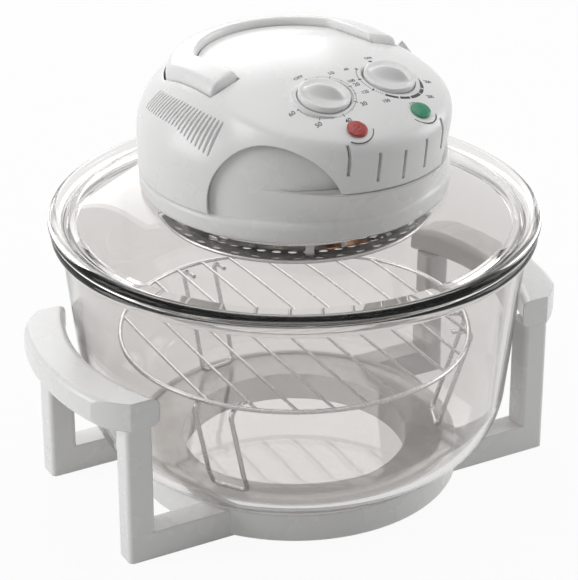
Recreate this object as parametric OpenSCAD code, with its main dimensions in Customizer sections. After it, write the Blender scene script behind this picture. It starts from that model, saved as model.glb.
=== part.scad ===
// Tabletop halogen oven: glass bowl in a plastic stand, lift-off glass lid with the heater head.
// Millimetres, +Z up, origin at the bottom centre of the stand, control panel towards -Y.

/* [Bowl] */
// Outer diameter of the bowl and lid rims
rim_d = 330; // [310:1:350]
// Height of the bowl from its foot to its rim
bowl_h = 165.4; // [130:0.1:200]
// Glass thickness of the bowl
bowl_wall = 5; // [4:0.5:6]
// Radius between the floor and the wall of the bowl
bowl_corner = 50; // [35:1:55]
// Lean of the bowl wall from upright, in degrees
bowl_taper = 6; // [3:0.5:8]

/* [Stand] */
// Turn of the stand and the rack under the head, seen from above, in degrees
base_turn = -8; // [-30:1:30]
// Outer radius of the base ring
ring_r = 113.5; // [105:0.5:118]
// Radius of the hole in the base ring
ring_hole_r = 78; // [60:1:84]
// Height of the base ring
ring_h = 20; // [16:1:30]
// Height of the arms from the floor
arm_h = 20; // [14:1:26]
// Width of each post and arm across the stand
post_d = 18; // [14:1:22]
// Width of each post along the arms
post_w = 19; // [16:1:24]
// Distance from the centre to the outer face of a post
post_reach = 161; // [158:1:166]
// Half the distance over the outer faces of the two post rows
post_row = 72; // [66:1:76]
// Height of the top of the grips
grip_top = 120; // [100:1:130]
// Thickness of the grips from top to bottom
grip_t = 20; // [14:1:24]
// Clear gap between the bowl wall and the inside of the grips
grip_gap = 5.5; // [3:0.5:12]
// Radial width of the grips
grip_w = 28.5; // [24:0.5:36]
// Half the length of the grips
grip_half = 74; // [70:1:78]

/* [Lid] */
// Height of the lid rim bead
lid_rim_h = 8; // [6:0.5:10]
// Glass thickness of the lid
lid_wall = 5; // [4:0.5:6]
// Rise of the lid from the rim underside to the underside of the head shelf
lid_rise = 22.4; // [18:0.1:30]
// Radius of the hole under the head
lid_hole_r = 86; // [84:0.5:88]

/* [Head] */
// Largest radius of the head
head_r = 104; // [100:0.5:108]
// Radius of the shoulder between the side and the top of the head
shoulder_r = 45; // [40:1:50]
// Radius of the shallow crown on top of the head
crown_r = 255; // [240:1:300]
// Height of the seam between collar and cover above the glass
seam_h = 14.5; // [12:0.5:18]
// Height where the shoulder starts above the glass
shoulder_h = 39.5; // [36:0.5:48]
// Wall thickness of the cover
cover_t = 3; // [2:0.25:3.5]
// Radius of the nose that carries the control panel
nose_r = 78; // [74:1:80]
// Distance of the nose centre in front of the head centre
nose_y = 40; // [36:1:42]
// Height of the nose underside above the glass
nose_h = 36.5; // [32:0.5:40]
// Radius of the crowned control panel
panel_r = 200; // [190:1:255]
// Distance of the panel crown in front of the head centre
panel_y = 14; // [8:1:18]
// Height of the panel crown above the glass
panel_h = 95.7; // [94:0.1:97]
// Radius of the two side arches
arch_r = 44; // [36:1:46]
// Angle of the arches from the front, in degrees
arch_turn = 43.5; // [40:0.5:46]
// Number of slots in the front grille
grille_n = 5; // [3:2:7]
// Number of vent slots on each side
vent_n = 21; // [8:1:22]

/* [Controls] */
// Radius of the knobs
knob_r = 16.8; // [14:0.1:18]
// Distance of the knobs from the middle plane
knob_x = 26; // [24:0.5:28]
// Distance of the knobs in front of the head centre
knob_y = 66; // [62:1:68]
// Height of the finger ridge above the knob skirt
ridge_h = 10; // [6:0.5:12]
// Distance of the lamps from the middle plane
lamp_x = 25.2; // [20:0.1:30]
// Distance of the lamps in front of the head centre
lamp_y = 98.7; // [96:0.1:100]
// Radius of the lamp lenses
lens_r = 6.7; // [5:0.1:7.5]

/* [Carry handle] */
// Distance between the arms of the carry handle
bail_in = 108; // [100:1:112]
// Width of the handle arms
bail_w = 21; // [16:1:22]
// Outer radius of the rear bow
bail_bow_r = 84; // [80:1:88]
// Inner radius of the rear bow
bail_eye_r = 64; // [56:1:68]
// How far the handle stands above the crown
bail_up = 6; // [4:0.5:8]
// Distance of the hinge in front of the head centre
bail_hinge_y = 4; // [0:1:8]
// Radius of the arm ends round the hinge
bail_end_r = 9.2; // [8:0.1:10]

/* [Heater] */
// Radius of the guard dish rim
dish_r = 90; // [88:0.5:94]
// Height of the guard dish below the reflector
dish_drop = 16.3; // [15:0.1:17.5]
// Radius of the holes in the guard dish
dish_hole_r = 3; // [2:0.1:3.2]
// Radius of the halogen ring
tube_ring_r = 62; // [58:1:64]
// Radius of the halogen tube
tube_r = 5; // [3.5:0.5:5]
// Tip radius of the convection fan
fan_r = 47; // [36:1:50]
// Tip radius of the cooling fan
cool_fan_r = 33; // [26:1:34]
// Number of blades on the convection fan
fan_blades = 8; // [4:1:12]

/* [Rack] */
// Radius of the rack ring
rack_r = 120; // [110:1:126]
// Height of the rack above the bowl floor
rack_h = 79; // [40:1:90]
// Wire radius of the ring and legs
rack_wire_r = 1.6; // [1.2:0.1:2]
// Wire radius of the rods
rack_rod_r = 1.1; // [0.8:0.1:1.4]
// Spacing of the rods
rack_pitch = 22; // [16:1:24]
// Width of each leg
leg_w = 26; // [20:1:32]
// How far each leg leans in from top to bottom
leg_lean = 24; // [16:1:28]

/* [Hidden] */
$fn = 96;

rim_r = rim_d / 2;
rest_gap = 0.3;
fit_gap = 0.05;
slip_gap = 0.8;
screw_r = 2;
head_screw_r = 3.7;
screw_head_h = 2.6;
sheet_t = 1.2;
eps = 0.01;

// Bowl outline
bowl_z = ring_h + rest_gap;
bowl_top = bowl_z + bowl_h;
bead_r = 3.9;
wall_top_r = rim_r - 7.8;
corner_z = bowl_z + bowl_corner;
bowl_foot_r = wall_top_r - (bowl_top - 2 * bead_r - corner_z) * tan(bowl_taper) - bowl_corner / cos(bowl_taper);
function bowl_out_r(z) = wall_top_r - (bowl_top - 2 * bead_r - z) * tan(bowl_taper);

// Lid and head levels
lid_z = bowl_top + rest_gap;
shelf_z = lid_z + lid_rise;
head_z = shelf_z + lid_wall;
shelf_r = head_r - 3;
reflector_t = 1.2;
reflector_z = shelf_z - 3.2;
dish_z = reflector_z - dish_drop;
dish_t = 1;
floor_lift = 1.2;
floor_t = 3;
floor_top = floor_lift + floor_t;

// Head outline, heights above head_z
shoulder_c = head_r - shoulder_r;
crown_z = shoulder_h - sqrt(pow(crown_r - shoulder_r, 2) - pow(shoulder_c, 2));
blend_turn = atan2(shoulder_h - crown_z, shoulder_c);
nose_cap_r = nose_r + 2;
nose_edge_r = 12;
nose_tilt = asin((nose_y - panel_y) / panel_r);
panel_z = panel_h - panel_r;
housing_gap = 1;
housing_t = 2.5;
function crown_at(x, y, off = 0) = crown_z + sqrt(pow(crown_r + off, 2) - x * x - y * y);
function panel_at(x, y) = panel_z + sqrt(pow(panel_r, 2) - x * x - pow(y - panel_y, 2));
knob_tilt = asin((knob_y - panel_y) / panel_r);
lamp_tilt = asin((lamp_y - panel_y) / panel_r);

// Knobs and their wells
well_r = knob_r + slip_gap;
well_d = 3.5;
well_floor = 2.5;
shaft_r = 3;
unit_top = well_d + well_floor;
unit_w = 32;
unit_shift = 3;
unit_h = 25;
thermo_r = 16;
thermo_h = 19;

// Carry handle
bail_down = 6;
bail_swing = 0.5;
bail_hinge_h = crown_at(bail_in / 2 + 3, bail_hinge_y) - 2.4;
pin_r = 2.5;
pin_in = 9;
pin_reach = 14;
plunger_r = 1.6;
plunger_y = 25;
plunger_x = bail_in / 2 + bail_w / 2;
plunger_h = 10;
liner_t = 2.7;

// Motor, heights above head_z
plate_h = 8.6;
plate_t = 1.5;
plate_r = 56;
stack_h = 22.5;
stack_t = 18;
stack_w = 54;
stack_l = 62;
bridge_t = 2;
bridge_w = 12;
post_x = 21;
post_r = 3.2;
long_screw_r = 1.5;
low_bridge_h = stack_h - 8;
top_bridge_h = stack_h + stack_t + 8;
rotor_r = 13;
motor_shaft_r = 2.5;
cool_fan_h = top_bridge_h + 6;
bearing_r = 6;
bearing_l = 6;

// Rack
rack_z = bowl_z + bowl_wall + rack_h;
leg_foot_z = bowl_z + bowl_wall + rest_gap;
leg_turns = [-54, 66, 186];

// Colours
white_c = [0.93, 0.93, 0.92];
glass_c = [0.72, 0.68, 0.65, 0.45];
steel_c = [0.72, 0.73, 0.75];
black_c = [0.12, 0.12, 0.13];

// Points along an arc about c from angle a to angle b
function arc(c, r, a, b, n) = [for (i = [0 : n]) [c[0] + r * cos(a + (b - a) * i / n), c[1] + r * sin(a + (b - a) * i / n)]];

// Half outline of the head dome, moved out by off and standing on height low
function dome_outline(off, low) = concat(
    [[0, low], [head_r + off, low]],
    arc([shoulder_c, shoulder_h], shoulder_r + off, 0, blend_turn, 7),
    arc([0, crown_z], crown_r + off, blend_turn + (90 - blend_turn) / 4, 90, 3));

module dome(off, low) {
    rotate_extrude() polygon(dome_outline(off, low));
}

// Crowned cap on the tilted axis of the nose
module nose_cap(off) {
    cap_r = nose_cap_r + off;
    top_r = panel_r + off;
    edge_z = sqrt(pow(top_r - nose_edge_r, 2) - pow(cap_r - nose_edge_r, 2));
    meet = atan2(edge_z, cap_r - nose_edge_r);
    translate([0, -panel_y, panel_z])
    rotate([nose_tilt, 0, 0])
    rotate_extrude()
    polygon(concat(
        [[0, edge_z - 60], [cap_r, edge_z - 60]],
        arc([cap_r - nose_edge_r, edge_z], nose_edge_r, 0, meet, 6),
        arc([0, 0], top_r, meet + (90 - meet) / 6, 90, 5)));
}

module nose(off, low) {
    intersection() {
        translate([0, -nose_y, low]) cylinder(r = nose_r + off, h = 80);
        nose_cap(off);
    }
}

// Children placed on the control panel, with their own Z tilted with it
module on_panel(x, y, tilt) {
    translate([x, -y, panel_at(x, y)]) rotate([tilt, 0, 0]) children();
}

module at_head() {
    translate([0, 0, head_z]) children();
}

module at_base() {
    rotate([0, 0, base_turn]) children();
}

// Bar with round upright edges, centred on x and y
module soft_bar(w, d, h, r) {
    linear_extrude(h) {
        square([w - 2 * r, d], center = true);
        square([w, d - 2 * r], center = true);
        for (x = [-1, 1], y = [-1, 1]) translate([x * (w / 2 - r), y * (d / 2 - r)]) circle(r);
    }
}

module ring(r_out, r_in, h) {
    difference() {
        cylinder(r = r_out, h = h);
        translate([0, 0, -1]) cylinder(r = r_in, h = h + 2);
    }
}

// Pan-head screw with its shank up along Z and its head below the origin
module screw_up(l, r = screw_r) {
    cylinder(r = r, h = l);
    translate([0, 0, -screw_head_h]) difference() {
        cylinder(r = head_screw_r * r / screw_r, h = screw_head_h);
        translate([0, 0, -1]) cylinder(r = r * 0.8, h = 2.4, $fn = 6);
    }
}

// Stand

post_cx = post_reach - post_w / 2;
post_cy = post_row - post_d / 2;
grip_bottom = grip_top - grip_t;
post_bore_r = 4.6;
post_web = 14;
grip_in_r = bowl_out_r(grip_top) + grip_gap;
grip_out_r = grip_in_r + grip_w;
grip_corner_r = 94;
grip_corner_x = grip_out_r - 85;
grip_round = 5;
screw_into = 11;

module stand_frame() color(white_c) at_base() difference() {
    union() {
        rotate_extrude() polygon(concat(
            [[ring_hole_r, 0], [ring_r - 3, 0]],
            arc([ring_r - 3, 3], 3, -90, 0, 4),
            [[ring_r, ring_h + 0.9], [ring_r - 4, ring_h + 0.9], [ring_r - 6, ring_h], [ring_hole_r, ring_h]]));
        for (x = [-1, 1], y = [-1, 1]) {
            translate([x * post_cx, y * post_cy, 0]) soft_bar(post_w, post_d, grip_bottom, 3.5);
            arm_in = sqrt(pow(ring_r - 4, 2) - pow(post_row, 2));
            translate([x > 0 ? arm_in : -post_cx, y > 0 ? post_cy - post_d / 2 : -post_row, 0])
            cube([post_cx - arm_in, post_d, arm_h]);
        }
    }
    for (x = [-1, 1], y = [-1, 1]) translate([x * post_cx, y * post_cy, -1]) {
        cylinder(r = post_bore_r, h = grip_bottom - post_web + 1, $fn = 32);
        cylinder(r = screw_r + fit_gap, h = grip_bottom + 2, $fn = 32);
    }
}

module grip(side) {
    difference() {
        intersection() {
            rotate_extrude() polygon(concat(
                arc([grip_in_r + grip_round, grip_bottom + grip_round], grip_round, 180, 270, 4),
                arc([grip_out_r - grip_round, grip_bottom + grip_round], grip_round, 270, 360, 4),
                arc([grip_out_r - grip_round, grip_top - grip_round], grip_round, 0, 90, 4),
                arc([grip_in_r + grip_round, grip_top - grip_round], grip_round, 90, 180, 4)));
            translate([side > 0 ? 0 : -grip_out_r - 1, -grip_half, 0]) cube([grip_out_r + 1, 2 * grip_half, grip_top + 1]);
            translate([side * grip_corner_x, 0, 0]) cylinder(r = grip_corner_r, h = grip_top + 1);
        }
        for (y = [-1, 1]) translate([side * post_cx, y * post_cy, grip_bottom - 1])
            cylinder(r = screw_r + fit_gap, h = screw_into + 2, $fn = 32);
    }
}

module stand_grip_left() color(white_c) at_base() grip(-1);

module stand_grip_right() color(white_c) at_base() grip(1);

module stand_screws() color(steel_c) at_base()
    for (x = [-1, 1], y = [-1, 1]) translate([x * post_cx, y * post_cy, grip_bottom - post_web])
        screw_up(post_web + screw_into, $fn = 32);

// Bowl

module glass_bowl() color(glass_c) {
    lean = bowl_taper;
    wall_in = bowl_wall / cos(lean);
    bead_c = [rim_r - 1.5 - bead_r, bowl_top - bead_r];
    inner_corner = bowl_corner - bowl_wall;
    floor_z = bowl_z + bowl_wall;
    rotate_extrude() polygon(concat(
        [[0, bowl_z], [bowl_foot_r, bowl_z]],
        arc([bowl_foot_r, corner_z], bowl_corner, -82, -lean, 12),
        [[wall_top_r, bowl_top - 2 * bead_r]],
        arc(bead_c, bead_r, -70, 90, 8),
        [[wall_top_r - wall_in + 2, bowl_top], [wall_top_r - wall_in, bowl_top - 2]],
        arc([bowl_foot_r, corner_z], inner_corner, -lean, -82, 12),
        [[bowl_foot_r, floor_z], [0, floor_z]]));
}

// Rack

module rack_grid() color(steel_c) at_base() translate([0, 0, rack_z]) {
    rotate_extrude() translate([rack_r, 0]) circle(rack_wire_r, $fn = 24);
    rods = floor((rack_r - 8) / rack_pitch + 0.5);
    for (i = [-rods : rods - 1]) {
        x = (i + 0.5) * rack_pitch;
        half = sqrt(pow(rack_r, 2) - x * x);
        translate([x, half, 0]) rotate([90, 0, 0]) cylinder(r = rack_rod_r, h = 2 * half, $fn = 24);
    }
}

// One bent wire leg: a U that leans in to its foot bar, with two ends turned in under the ring
bend_r = 5;
bend_wire_r = rack_wire_r + 0.15;

module bend(turn) {
    rotate_extrude(angle = turn) translate([bend_r, 0]) circle(bend_wire_r, $fn = 24);
}

module rack_leg(turn) {
    top_r = rack_r + 3;
    top_z = rack_z - rack_wire_r - bend_wire_r - fit_gap;
    foot_z = leg_foot_z + bend_wire_r;
    foot_r = top_r - leg_lean;
    lean = atan2(leg_lean, top_z - foot_z);
    fold_z = (top_z - foot_z - bend_r * (1 + sin(lean))) / cos(lean) ;
    half = leg_w / 2;
    rotate([0, 0, turn]) translate([0, -foot_r, foot_z]) rotate([lean, 0, 0]) {
        translate([bend_r - half - 0.5, 0, 0]) rotate([0, 90, 0]) cylinder(r = rack_wire_r, h = leg_w - 2 * bend_r + 1, $fn = 24);
        for (s = [-1, 1]) {
            translate([s * (half - bend_r), 0, bend_r]) rotate([90, 0, 0]) rotate([0, 0, s > 0 ? -90 : 180]) bend(90);
            translate([s * half, 0, bend_r - 0.5]) cylinder(r = rack_wire_r, h = fold_z - bend_r + 1, $fn = 24);
            translate([s * half, bend_r, fold_z]) {
                rotate([90, 0, -90]) rotate([0, 0, 0]) bend(90 + lean);
                rotate([-lean, 0, 0]) translate([0, -0.5, bend_r]) rotate([-90, 0, 0]) cylinder(r = rack_wire_r, h = 9, $fn = 24);
            }
        }
    }
}

module rack_leg_front() color(steel_c) at_base() rack_leg(leg_turns[0]);

module rack_leg_right() color(steel_c) at_base() rack_leg(leg_turns[1]);

module rack_leg_rear() color(steel_c) at_base() rack_leg(leg_turns[2]);

// Lid

spigot_r = wall_top_r - bowl_wall / cos(bowl_taper) - 1.2;
spigot_h = 4;
groove_r = rim_r - 12;

module lid_glass() color(glass_c) {
    rim_c = [rim_r - lid_rim_h / 2, lid_z + lid_rim_h / 2];
    web_z = lid_z + lid_wall - 0.5;
    run = groove_r - shelf_r;
    rise = head_z - web_z;
    rotate_extrude() polygon(concat(
        [[lid_hole_r, head_z], [lid_hole_r, shelf_z], [shelf_r, shelf_z]],
        [for (i = [1 : 8]) let (t = i / 9) [shelf_r + run * t - 2 * t, shelf_z - (rise - 1) * pow(t, 1.35)]],
        [[spigot_r - 3.5, lid_z], [spigot_r - 3.5, lid_z - spigot_h], [spigot_r, lid_z - spigot_h], [spigot_r, lid_z]],
        arc(rim_c, lid_rim_h / 2, -90, 140, 12),
        [[groove_r + 1.5, web_z], [groove_r - 1, web_z]],
        [for (i = [8 : -1 : 1]) let (t = i / 9) [shelf_r + run * t, head_z - rise * pow(t, 1.35)]],
        [[shelf_r, head_z]]));
}

module lid_gasket() color(black_c) at_head() ring(head_r - 6, lid_hole_r + 1, floor_lift);

// Head shells

arch_sector = arch_turn;
side_sector = 78;
front_gap = 20;
wall_top_h = 66;
wall_side_h = 27;
chin_low = 12;

module sector(a, b, pts) {
    rotate([0, 0, a - 90]) rotate_extrude(angle = b - a) polygon(pts);
}

// Wall t thick inside the cover outline moved by off, from height low to height top
function wall_outline(off, t, low, top) = concat(
    [[head_r + off - t, low], [head_r + off, low], [head_r + off, shoulder_h]],
    arc([shoulder_c, shoulder_h], shoulder_r + off, 4, asin((top - shoulder_h) / (shoulder_r + off)), 6),
    arc([shoulder_c, shoulder_h], shoulder_r + off - t, asin((top - shoulder_h) / (shoulder_r + off - t)), 4, 6),
    [[head_r + off - t, shoulder_h]]);

boss_r = 5;
boss_reach = 80;
boss_turns = [45, 135, 225, 315];
reflector_screw_reach = 74;
reflector_screw_turns = [20, 160, 200, 340];
motor_foot_reach = 48;
motor_foot_turns = [90, 210, 330];
cap_turns = [60, 120];
cap_r = 6.5;
probe_y = 74;
probe_half = 30;
gland_h = 22.5;
gland_r = 6.5;

module lower_housing() color(white_c) at_head() difference() {
    off = -cover_t - housing_gap;
    union() {
        rotate_extrude() polygon([[20, floor_lift], [head_r - 5.5, floor_lift], [head_r - 5.5, 0.3],
            [head_r - 3, 0.3], [head_r - 1.4, 1.6], [head_r - 0.6, 4], [head_r - 0.4, seam_h - 3],
            [head_r - 1.2, seam_h - 1], [head_r - 3, seam_h - 0.4], [head_r + off, seam_h - 0.4],
            [head_r + off - housing_t - 1, seam_h - 0.4], [head_r + off - housing_t - 1, floor_top],
            [20, floor_top]]);
        translate([0, 0, 6]) ring(head_r + off, head_r + off - housing_t, wall_side_h - 6);
        for (s = [-1, 1]) sector(s > 0 ? front_gap : -side_sector, s > 0 ? side_sector : -front_gap,
            wall_outline(off - 0.3, housing_t - 0.6, wall_side_h - 7, wall_top_h));
        difference() {
            translate([0, -nose_y, chin_low]) cylinder(r1 = head_r - nose_y - 1.5, r2 = nose_r - 2, h = nose_h - 0.6 - chin_low);
            translate([0, 0, -1]) cylinder(r = head_r + off - 1.5, h = nose_h + 2);
        }
        for (a = reflector_screw_turns) rotate([0, 0, a]) translate([reflector_screw_reach, 0, floor_lift])
            cylinder(r = 4.5, h = 9, $fn = 32);
    }
    for (a = boss_turns) rotate([0, 0, a]) translate([boss_reach, 0, 0]) cylinder(r = screw_r + 0.2, h = 12, $fn = 32);
    for (a = reflector_screw_turns) rotate([0, 0, a]) translate([reflector_screw_reach, 0, 0])
        cylinder(r = screw_r + fit_gap, h = 9, $fn = 32);
    for (a = motor_foot_turns) rotate([0, 0, a]) translate([motor_foot_reach, 0, 0])
        cylinder(r = long_screw_r + fit_gap, h = 8, $fn = 32);
    translate([probe_half, -probe_y, 0]) cylinder(r = 1.5, h = 8, $fn = 24);
    translate([0, head_r + 5, gland_h]) rotate([90, 0, 0]) cylinder(r = gland_r + fit_gap, h = 20, $fn = 48);
}

// Plan of the carry handle, grown by g all round and by swing more behind the bow
module bail_plan(g, swing) {
    half_in = bail_in / 2 - g;
    half_out = bail_in / 2 + bail_w + g;
    difference() {
        union() {
            intersection() {
                circle(bail_bow_r + g + swing);
                translate([-half_out, 0]) square([2 * half_out, bail_bow_r + g + swing + 1]);
            }
            for (s = [-1, 1]) translate([s > 0 ? half_in : -half_out, -bail_hinge_y]) square([half_out - half_in, bail_hinge_y + 20]);
        }
        intersection() {
            circle(bail_eye_r - g);
            translate([-half_in, -bail_hinge_y - 30]) square([2 * half_in, 200]);
        }
        translate([-half_in, -bail_hinge_y - 30]) square([2 * half_in, bail_hinge_y + 56]);
    }
}

module bail_ends(g) {
    for (s = [-1, 1]) translate([s > 0 ? bail_in / 2 - g : -bail_in / 2 - bail_w - g, -bail_hinge_y, bail_hinge_h])
        rotate([0, 90, 0]) cylinder(r = bail_end_r + g, h = bail_w + 2 * g, $fn = 48);
}

// Handle body grown by g, between the crown lowered by down and raised by up
module bail_body(g, down, up, swing = 0) {
    intersection() {
        union() {
            intersection() {
                translate([0, 0, 20]) linear_extrude(head_r) bail_plan(g, swing);
                difference() {
                    dome(up, 0);
                    dome(-down - g, -1);
                }
            }
            bail_ends(g);
        }
        dome(up, 0);
    }
}

module vent_cuts() {
    step = 45.1 / (vent_n - 1);
    for (s = [-1, 1], i = [0 : vent_n - 1]) mirror([s > 0 ? 0 : 1, 0, 0])
        rotate([0, 0, 65.5 + i * step])
        translate([0, -head_r + 9, shoulder_h + 24 - i * 0.15])
        rotate([-35, 0, 0])
        cube([1.3, 22, 24 - i * 0.45], center = true);
}

module grille_cuts() {
    step = 18.4;
    for (i = [-(grille_n - 1) / 2 : (grille_n - 1) / 2]) {
        x = i * step;
        y = nose_y + sqrt(pow(nose_r, 2) - x * x);
        translate([x - 1, -y - 3, nose_h + 4.5 + 0.006 * x * x]) cube([2, 10, 20]);
    }
}

module upper_cover() color(white_c) at_head() difference() {
    union() {
        difference() {
            union() {
                dome(0, seam_h);
                nose(0, nose_h);
            }
            difference() {
                union() {
                    dome(-cover_t, -1);
                    nose(-cover_t, nose_h + cover_t);
                }
                for (s = [-1, 1]) on_panel(s * knob_x, knob_y, knob_tilt)
                    translate([0, 0, -unit_top]) cylinder(r = well_r + 2.5, h = unit_top, $fn = 64);
                bail_body(slip_gap + liner_t, bail_down, 0, bail_swing);
            }
        }
        intersection() {
            union() {
                dome(-cover_t / 2, -1);
                nose(-cover_t / 2, nose_h);
            }
            for (a = boss_turns) rotate([0, 0, a]) translate([boss_reach, 0, floor_top]) cylinder(r = boss_r, h = 100, $fn = 32);
        }
    }
    for (s = [-1, 1]) {
        rotate([0, 0, s * arch_turn]) translate([0, -boss_reach - boss_r - 1, shoulder_h - 17]) rotate([90, 0, 0]) cylinder(r = arch_r, h = 60);
        on_panel(s * knob_x, knob_y, knob_tilt) {
            translate([0, 0, -well_d]) cylinder(r = well_r, h = 20, $fn = 64);
            translate([0, 0, -unit_top - 1]) cylinder(r = shaft_r + 1.5, h = 20, $fn = 32);
        }
        on_panel(s * lamp_x, lamp_y, lamp_tilt) translate([0, 0, -12]) cylinder(r = lens_r - 1.4, h = 30, $fn = 48);
        translate([s * (bail_in / 2 - pin_in), -bail_hinge_y, bail_hinge_h]) rotate([0, s * 90, 0]) cylinder(r = pin_r + fit_gap, h = 20, $fn = 32);
    }
    sector(-arch_turn, arch_turn, [[boss_reach + boss_r, -1], [head_r + 40, -1], [head_r + 40, nose_h], [boss_reach + boss_r, nose_h]]);
    bail_body(slip_gap, bail_down, 40, bail_swing);
    for (s = [-1, 1]) translate([s > 0 ? bail_in / 2 - slip_gap : -bail_in / 2 - bail_w - slip_gap,
        -bail_hinge_y - bail_end_r - slip_gap, bail_hinge_h]) cube([bail_w + 2 * slip_gap, 2 * bail_end_r, 40]);
    translate([plunger_x, plunger_y, 40]) cylinder(r = plunger_r + fit_gap, h = 60, $fn = 24);
    for (a = boss_turns) rotate([0, 0, a]) translate([boss_reach, 0, 0]) cylinder(r = screw_r + fit_gap, h = 24, $fn = 32);
    translate([0, head_r + 5, gland_h]) rotate([90, 0, 0]) cylinder(r = gland_r + fit_gap, h = 20, $fn = 48);
    vent_cuts();
    grille_cuts();
}

module cover_screws() color(steel_c) at_head()
    for (a = boss_turns) rotate([0, 0, a]) translate([boss_reach, 0, floor_lift]) screw_up(18, $fn = 32);

// Carry handle and its switch

module carry_handle() color(white_c) at_head() difference() {
    bail_body(0, bail_down, bail_up);
    for (s = [-1, 1]) translate([s * (bail_in / 2 - 1), -bail_hinge_y, bail_hinge_h]) rotate([0, s * 90, 0])
        cylinder(r = pin_r + fit_gap, h = pin_reach + 2, $fn = 32);
}

module handle_pins() color(steel_c) at_head()
    for (s = [-1, 1]) translate([s * (bail_in / 2 - pin_in + 0.5), -bail_hinge_y, bail_hinge_h]) rotate([0, s * 90, 0])
        cylinder(r = pin_r, h = pin_in + pin_reach - 0.5, $fn = 32);

plunger_top = crown_at(plunger_x, plunger_y, -bail_down) - rest_gap - 0.2;

module switch_plunger() color("orangered") at_head()
    translate([plunger_x, plunger_y, plunger_top - plunger_h]) cylinder(r = plunger_r, h = plunger_h, $fn = 24);

module safety_switch() color(black_c) at_head()
    translate([plunger_x - 3.2, plunger_y - 14, plunger_top - plunger_h - rest_gap - 11]) difference() {
        cube([6.4, 20, 11]);
        for (y = [5, 15]) translate([-1, y, 3]) rotate([0, 90, 0]) cylinder(r = 1.5, h = 9, $fn = 24);
    }

// Knobs, timer and thermostat

skirt_h = 6.7;
skirt_z = -well_d + rest_gap;

module knob(turn) {
    difference() {
        union() {
            translate([0, 0, skirt_z]) rotate_extrude() polygon(concat(
                [[0, 0], [knob_r - 0.6, 0], [knob_r, 0.8], [knob_r, skirt_h - 1]],
                arc([knob_r - 1, skirt_h - 1], 1, 0, 90, 3),
                [[knob_r - 3, skirt_h - 0.6], [knob_r - 7, skirt_h - 1.5], [0, skirt_h - 1.8]]));
            rotate([0, 0, turn]) intersection() {
                translate([0, 0, skirt_z + 2]) scale([1, 0.4, 0.68]) sphere(r = knob_r - 1.4, $fn = 48);
                translate([0, 0, skirt_z + 2]) cylinder(r = knob_r, h = ridge_h + skirt_h, $fn = 48);
            }
        }
        translate([0, 0, skirt_z - 1]) cylinder(r = shaft_r + fit_gap, h = 5, $fn = 32);
    }
}

module knob_shaft() {
    translate([0, 0, -unit_top - 9]) cylinder(r = shaft_r, h = 9 + unit_top + skirt_z + 3.5, $fn = 32);
}

module timer_knob() color(white_c) at_head() on_panel(-knob_x, knob_y, knob_tilt) knob(-45);

module thermostat_knob() color(white_c) at_head() on_panel(knob_x, knob_y, knob_tilt) knob(-45);

module timer_shaft() color(steel_c) at_head() on_panel(-knob_x, knob_y, knob_tilt) knob_shaft();

module thermostat_shaft() color(steel_c) at_head() on_panel(knob_x, knob_y, knob_tilt) knob_shaft();

module timer_unit() color(steel_c) at_head() on_panel(-knob_x, knob_y, knob_tilt)
    translate([0, 0, -unit_top - unit_h]) difference() {
        translate([0, unit_shift, 0]) soft_bar(unit_w, unit_w, unit_h, 3);
        translate([0, 0, unit_h - 10]) cylinder(r = shaft_r + fit_gap, h = 12, $fn = 32);
    }

module timer_bell() color(steel_c) at_head() on_panel(-knob_x, knob_y, knob_tilt)
    translate([0, 0, -unit_top - unit_h - 6]) rotate_extrude() polygon([[0, 4.8], [2, 4.8], [2, 6], [3, 6],
        [3, 3.8], [11, 2.6], [13, 0], [12, 0], [10.5, 1.8], [0, 3]]);

module thermostat_unit() color(steel_c) at_head() on_panel(knob_x, knob_y, knob_tilt)
    translate([0, 0, -unit_top - thermo_h]) difference() {
        union() {
            cylinder(r = thermo_r, h = thermo_h - 2);
            translate([0, 0, thermo_h - 2]) soft_bar(34, 20, 2, 3);
        }
        translate([0, 0, thermo_h - 10]) cylinder(r = shaft_r + fit_gap, h = 12, $fn = 32);
    }

probe_z = reflector_z - 5.4;
probe_r = 2;
line_r = 0.8;
thermo_low = panel_at(knob_x, knob_y) - (unit_top + thermo_h) * cos(knob_tilt)
    - (probe_y - knob_y + (unit_top + thermo_h) * sin(knob_tilt)) * tan(knob_tilt);

module thermostat_probe() color("goldenrod") {
    translate([-probe_half, -probe_y, probe_z]) rotate([0, 90, 0]) cylinder(r = probe_r, h = 2 * probe_half, $fn = 24);
    translate([probe_half, -probe_y, probe_z]) cylinder(r = line_r, h = head_z + thermo_low - 0.1 - probe_z, $fn = 24);
    translate([probe_half, -probe_y, probe_z]) sphere(probe_r, $fn = 24);
}

module probe_clips() color(steel_c) for (x = [-18, 18]) translate([x, -probe_y, 0]) {
    translate([-2, 0, probe_z]) rotate([0, 90, 0]) ring(probe_r + sheet_t, probe_r + fit_gap, 4, $fn = 32);
    translate([-2, -sheet_t / 2, probe_z + probe_r + 0.5]) cube([4, sheet_t, reflector_z - probe_z - probe_r - 0.5]);
}

// Signal lamps

module lens() {
    translate([0, 0, 0.5]) rotate_extrude() polygon(concat([[0, 0], [lens_r, 0], [lens_r, 1]],
        arc([0, -6.2], norm([lens_r, 7.2]), atan2(7.2, lens_r) + 6, 90, 6)), $fn = 48);
    translate([0, 0, -8]) cylinder(r = lens_r - 1.5, h = 9, $fn = 48);
}

module power_lamp_lens() color("firebrick") at_head() on_panel(-lamp_x, lamp_y, lamp_tilt) lens();

module heat_lamp_lens() color("seagreen") at_head() on_panel(lamp_x, lamp_y, lamp_tilt) lens();

module lamp_holders() color(black_c) at_head() for (s = [-1, 1]) on_panel(s * lamp_x, lamp_y, lamp_tilt)
    translate([0, 0, -19]) difference() {
        cylinder(r = lens_r - 0.3, h = 15, $fn = 48);
        translate([0, 0, 10.5]) cylinder(r = lens_r - 1.4, h = 6, $fn = 48);
    }

// Motor and fans

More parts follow.
